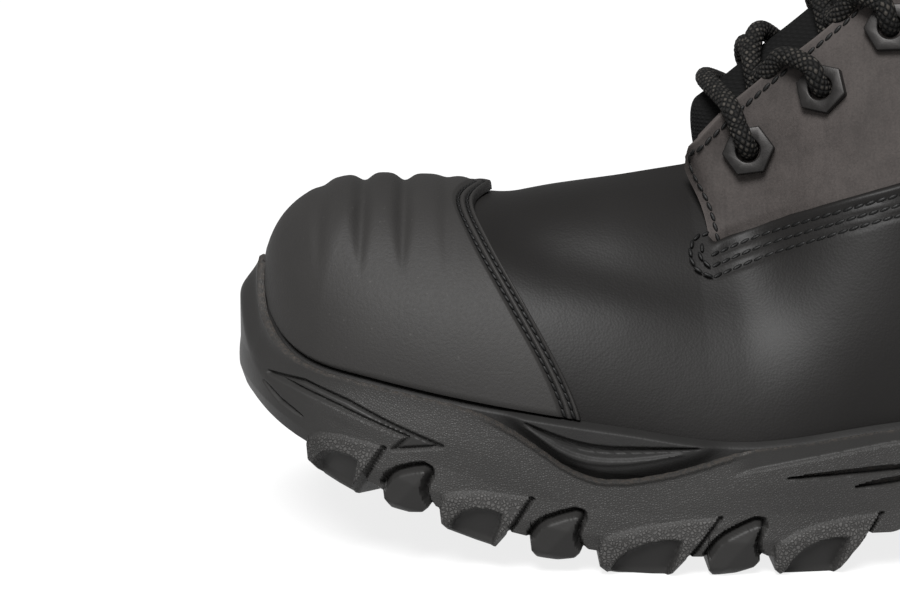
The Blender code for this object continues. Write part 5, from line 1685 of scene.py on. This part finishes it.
# The camera: the X and Z it looks at and its distance, in metres, and the degrees it looks down.
CAMERA_AIM = -0.10185, 0.0528
CAMERA_AWAY, CAMERA_DOWN = 0.6, 10
CAMERA_LENS, CAMERA_SENSOR = 100.0, 36.0


def light(name, place, aim, size, power):
    data = bpy.data.lights.new(name, "AREA")
    data.shape = "RECTANGLE"
    data.size, data.size_y = size
    data.energy = power
    made = bpy.data.objects.new(name, data)
    bpy.context.collection.objects.link(made)
    made.location = place
    made.rotation_euler = (Vector(aim) - Vector(place)).to_track_quat("-Z", "Y").to_euler()
    return made


def build_stage(colour):
    """Pale floor, soft studio light and the camera of the photograph."""
    nothing_selected()
    bpy.ops.mesh.primitive_plane_add(size=FLOOR_SIZE)
    floor = bpy.context.object
    floor.name = "pale_floor"
    made = Finish("lit_table", shade(colour, 0.15), 0.8, specular=0.1)
    made.shader.inputs["Emission Color"].default_value = (*colour, 1.0)
    made.shader.inputs["Emission Strength"].default_value = FLOOR_GLOW
    floor.data.materials.append(made.material)
    world = bpy.data.worlds.new("studio_air")
    world.use_nodes = True
    sky = world.node_tree.nodes["Background"]
    sky.inputs["Color"].default_value = (1.0, 1.0, 1.0, 1.0)
    sky.inputs["Strength"].default_value = SKY_STRENGTH
    bpy.context.scene.world = world
    broad = bpy.data.lights.new("broad_front_light", "SUN")
    broad.energy = SUN_STRENGTH
    broad.angle = math.radians(SUN_SPREAD)
    front = bpy.data.objects.new("broad_front_light", broad)
    bpy.context.collection.objects.link(front)
    front.rotation_euler = Euler((math.radians(SUN_TILT), 0.0, math.radians(SUN_TURN)))
    light("front_softbox", (-0.2, -1.2, 0.9), BOOT_MIDDLE, (0.6, 0.6), 4.0)
    lens = bpy.data.cameras.new("photo_camera")
    lens.lens = CAMERA_LENS
    lens.sensor_width = CAMERA_SENSOR
    camera = bpy.data.objects.new("photo_camera", lens)
    bpy.context.collection.objects.link(camera)
    along, height = CAMERA_AIM
    down = math.radians(CAMERA_DOWN)
    camera.location = along, -CAMERA_AWAY * math.cos(down), height + CAMERA_AWAY * math.sin(down)
    camera.rotation_euler = Euler((math.pi / 2 - down, 0.0, 0.0))
    bpy.context.scene.camera = camera
    bpy.context.scene.view_settings.view_transform = "Standard"


# Settings and tools
def length(name, description, millimetres):
    return FloatProperty(
        name=name, description=description, default=millimetres * MM, min=0.0, unit="LENGTH", precision=4
    )


def paint(name, description, colour):
    return FloatVectorProperty(
        name=name, description=description, default=colour, size=3, min=0.0, max=1.0, subtype="COLOR"
    )


class BootSizes(bpy.types.PropertyGroup):
    """Sizes that a user would change."""

    lace: length("Lace", "Diameter of the braided lace", 4.6)
    eyelet: length("Eyelet", "Width of an eyelet plate across its flats", 10.6)
    hole: length("Eyelet hole", "Diameter of an eyelet's hole", 5.6)
    stitch: length("Stitch", "Length of one stitch", 2.5)
    stitch_gap: length("Stitch gap", "Gap between stitches", 0.1)
    thread: length("Thread", "Width of the sewing thread", 0.95)


class BootColours(bpy.types.PropertyGroup):
    """Colours that a user would change."""

    sole: paint("Outsole", "Rubber of the outsole", (0.0205, 0.0199, 0.0193))
    midsole: paint("Midsole", "Rubber of the midsole's rim", (0.0112, 0.0109, 0.0107))
    footbed: paint("Footbed", "Cloth of the footbed", (0.03, 0.03, 0.03))
    vamp: paint("Vamp", "Smooth leather of the vamp and wing", (0.0064, 0.006, 0.0058))
    facing: paint("Facing", "Brushed leather of the facings", (0.03, 0.026, 0.0244))
    lining: paint("Lining", "Cloth of the lining", (0.0075, 0.0075, 0.0075))
    cap: paint("Toe cap", "Moulded rubber of the toe cap", (0.0158, 0.0151, 0.0146))
    tongue: paint("Tongue", "Cloth of the tongue", (0.0035, 0.0035, 0.0035))
    metal: paint("Eyelets", "Satin metal of the eyelets", (0.016, 0.0152, 0.0148))
    lace: paint("Lace", "Yarn of the lace", (0.0026, 0.0026, 0.0026))
    # Also painted on the crowns of the lace's yarns, as a painted highlight.
    fleck_and_highlight: paint("Lace fleck", "Lighter yarn in the lace", (0.045, 0.0405, 0.035))
    thread: paint("Thread", "Sewing thread", (0.0027, 0.0027, 0.0027))
    floor: paint("Floor", "Paint of the floor", (0.86, 0.86, 0.86))


class BOOT_OT_sole(bpy.types.Operator):
    """Outsole with its lugs and the blocks of its tread"""

    bl_idname = "boot.sole"
    bl_label = "Outsole"

    def execute(self, context):
        moulding = build_outsole(tuple(context.scene.boot_colours.sole))
        build_tread_blocks(moulding.data.materials[0])
        return {"FINISHED"}


class BOOT_OT_midsole(bpy.types.Operator):
    """Midsole rim and the footbed"""

    bl_idname = "boot.midsole"
    bl_label = "Midsole and footbed"

    def execute(self, context):
        build_midsole(tuple(context.scene.boot_colours.midsole))
        build_insole(tuple(context.scene.boot_colours.footbed))
        return {"FINISHED"}


class BOOT_OT_upper(bpy.types.Operator):
    """Vamp with its wing, facings and lining"""

    bl_idname = "boot.upper"
    bl_label = "Upper"

    def execute(self, context):
        colours = context.scene.boot_colours
        build_vamp(tuple(colours.vamp))
        build_facing(tuple(colours.facing))
        build_lining(tuple(colours.lining))
        return {"FINISHED"}


class BOOT_OT_toe_cap(bpy.types.Operator):
    """Moulded toe cap with its ridges and sewn band"""

    bl_idname = "boot.toe_cap"
    bl_label = "Toe cap"

    def execute(self, context):
        build_toe_cap(tuple(context.scene.boot_colours.cap))
        return {"FINISHED"}


class BOOT_OT_tongue(bpy.types.Operator):
    """Padded tongue"""

    bl_idname = "boot.tongue"
    bl_label = "Tongue"

    def execute(self, context):
        build_tongue(tuple(context.scene.boot_colours.tongue))
        return {"FINISHED"}


class BOOT_OT_eyelets(bpy.types.Operator):
    """Six-sided eyelet plates"""

    bl_idname = "boot.eyelets"
    bl_label = "Eyelets"

    def execute(self, context):
        sizes = context.scene.boot_sizes
        build_eyelets(tuple(context.scene.boot_colours.metal), sizes.eyelet, sizes.hole)
        return {"FINISHED"}


class BOOT_OT_lace(bpy.types.Operator):
    """Braided lace through the eyelets"""

    bl_idname = "boot.lace"
    bl_label = "Lace"

    def execute(self, context):
        colours = context.scene.boot_colours
        build_lace(tuple(colours.lace), tuple(colours.fleck_and_highlight), context.scene.boot_sizes.lace)
        return {"FINISHED"}


class BOOT_OT_stitching(bpy.types.Operator):
    """Sewn rows of the wing, the facings and the toe cap"""

    bl_idname = "boot.stitching"
    bl_label = "Stitching"

    def execute(self, context):
        sizes = context.scene.boot_sizes
        finish = waxed_thread(tuple(context.scene.boot_colours.thread))
        step = (sizes.stitch + sizes.stitch_gap) / MM
        size = (sizes.stitch, sizes.thread, sizes.thread * 0.75)
        stitched("wing_stitching", wing_stitches(step), size, finish)
        stitched("facing_stitching", facing_stitches(step), size, finish)
        stitched("cap_stitching", cap_stitches(step * 0.8), [s * 0.9 for s in size], finish)
        stitched("wing_loop_stitching", loop_stitches(step), size, finish)
        return {"FINISHED"}


class BOOT_OT_stage(bpy.types.Operator):
    """Floor, studio light and camera"""

    bl_idname = "boot.stage"
    bl_label = "Stage"

    def execute(self, context):
        build_stage(tuple(context.scene.boot_colours.floor))
        return {"FINISHED"}


TOOLS = (
    BOOT_OT_stage,
    BOOT_OT_sole,
    BOOT_OT_midsole,
    BOOT_OT_upper,
    BOOT_OT_toe_cap,
    BOOT_OT_tongue,
    BOOT_OT_eyelets,
    BOOT_OT_lace,
    BOOT_OT_stitching,
)


class BOOT_PT_pieces(bpy.types.Panel):
    """Lists the boot's pieces, sizes and colours"""

    bl_label = "Work boot"
    bl_idname = "BOOT_PT_pieces"
    bl_space_type = "VIEW_3D"
    bl_region_type = "UI"
    bl_category = "Boot"

    def draw(self, context):
        for tool in TOOLS:
            self.layout.operator(tool.bl_idname)
        for group in (context.scene.boot_sizes, context.scene.boot_colours):
            box = self.layout.box()
            for name in group.__annotations__:
                box.prop(group, name)


CLASSES = (BootSizes, BootColours, *TOOLS, BOOT_PT_pieces)


def register():
    for cls in CLASSES:
        bpy.utils.register_class(cls)
    bpy.types.Scene.boot_sizes = PointerProperty(type=BootSizes)
    bpy.types.Scene.boot_colours = PointerProperty(type=BootColours)


def unregister():
    del bpy.types.Scene.boot_colours
    del bpy.types.Scene.boot_sizes
    for cls in reversed(CLASSES):
        bpy.utils.unregister_class(cls)


def main():
    register()
    bpy.ops.boot.stage()
    bpy.ops.boot.sole()
    bpy.ops.boot.midsole()
    bpy.ops.boot.upper()
    bpy.ops.boot.toe_cap()
    bpy.ops.boot.tongue()
    bpy.ops.boot.eyelets()
    bpy.ops.boot.lace()
    bpy.ops.boot.stitching()


if __name__ == "__main__":
    main()
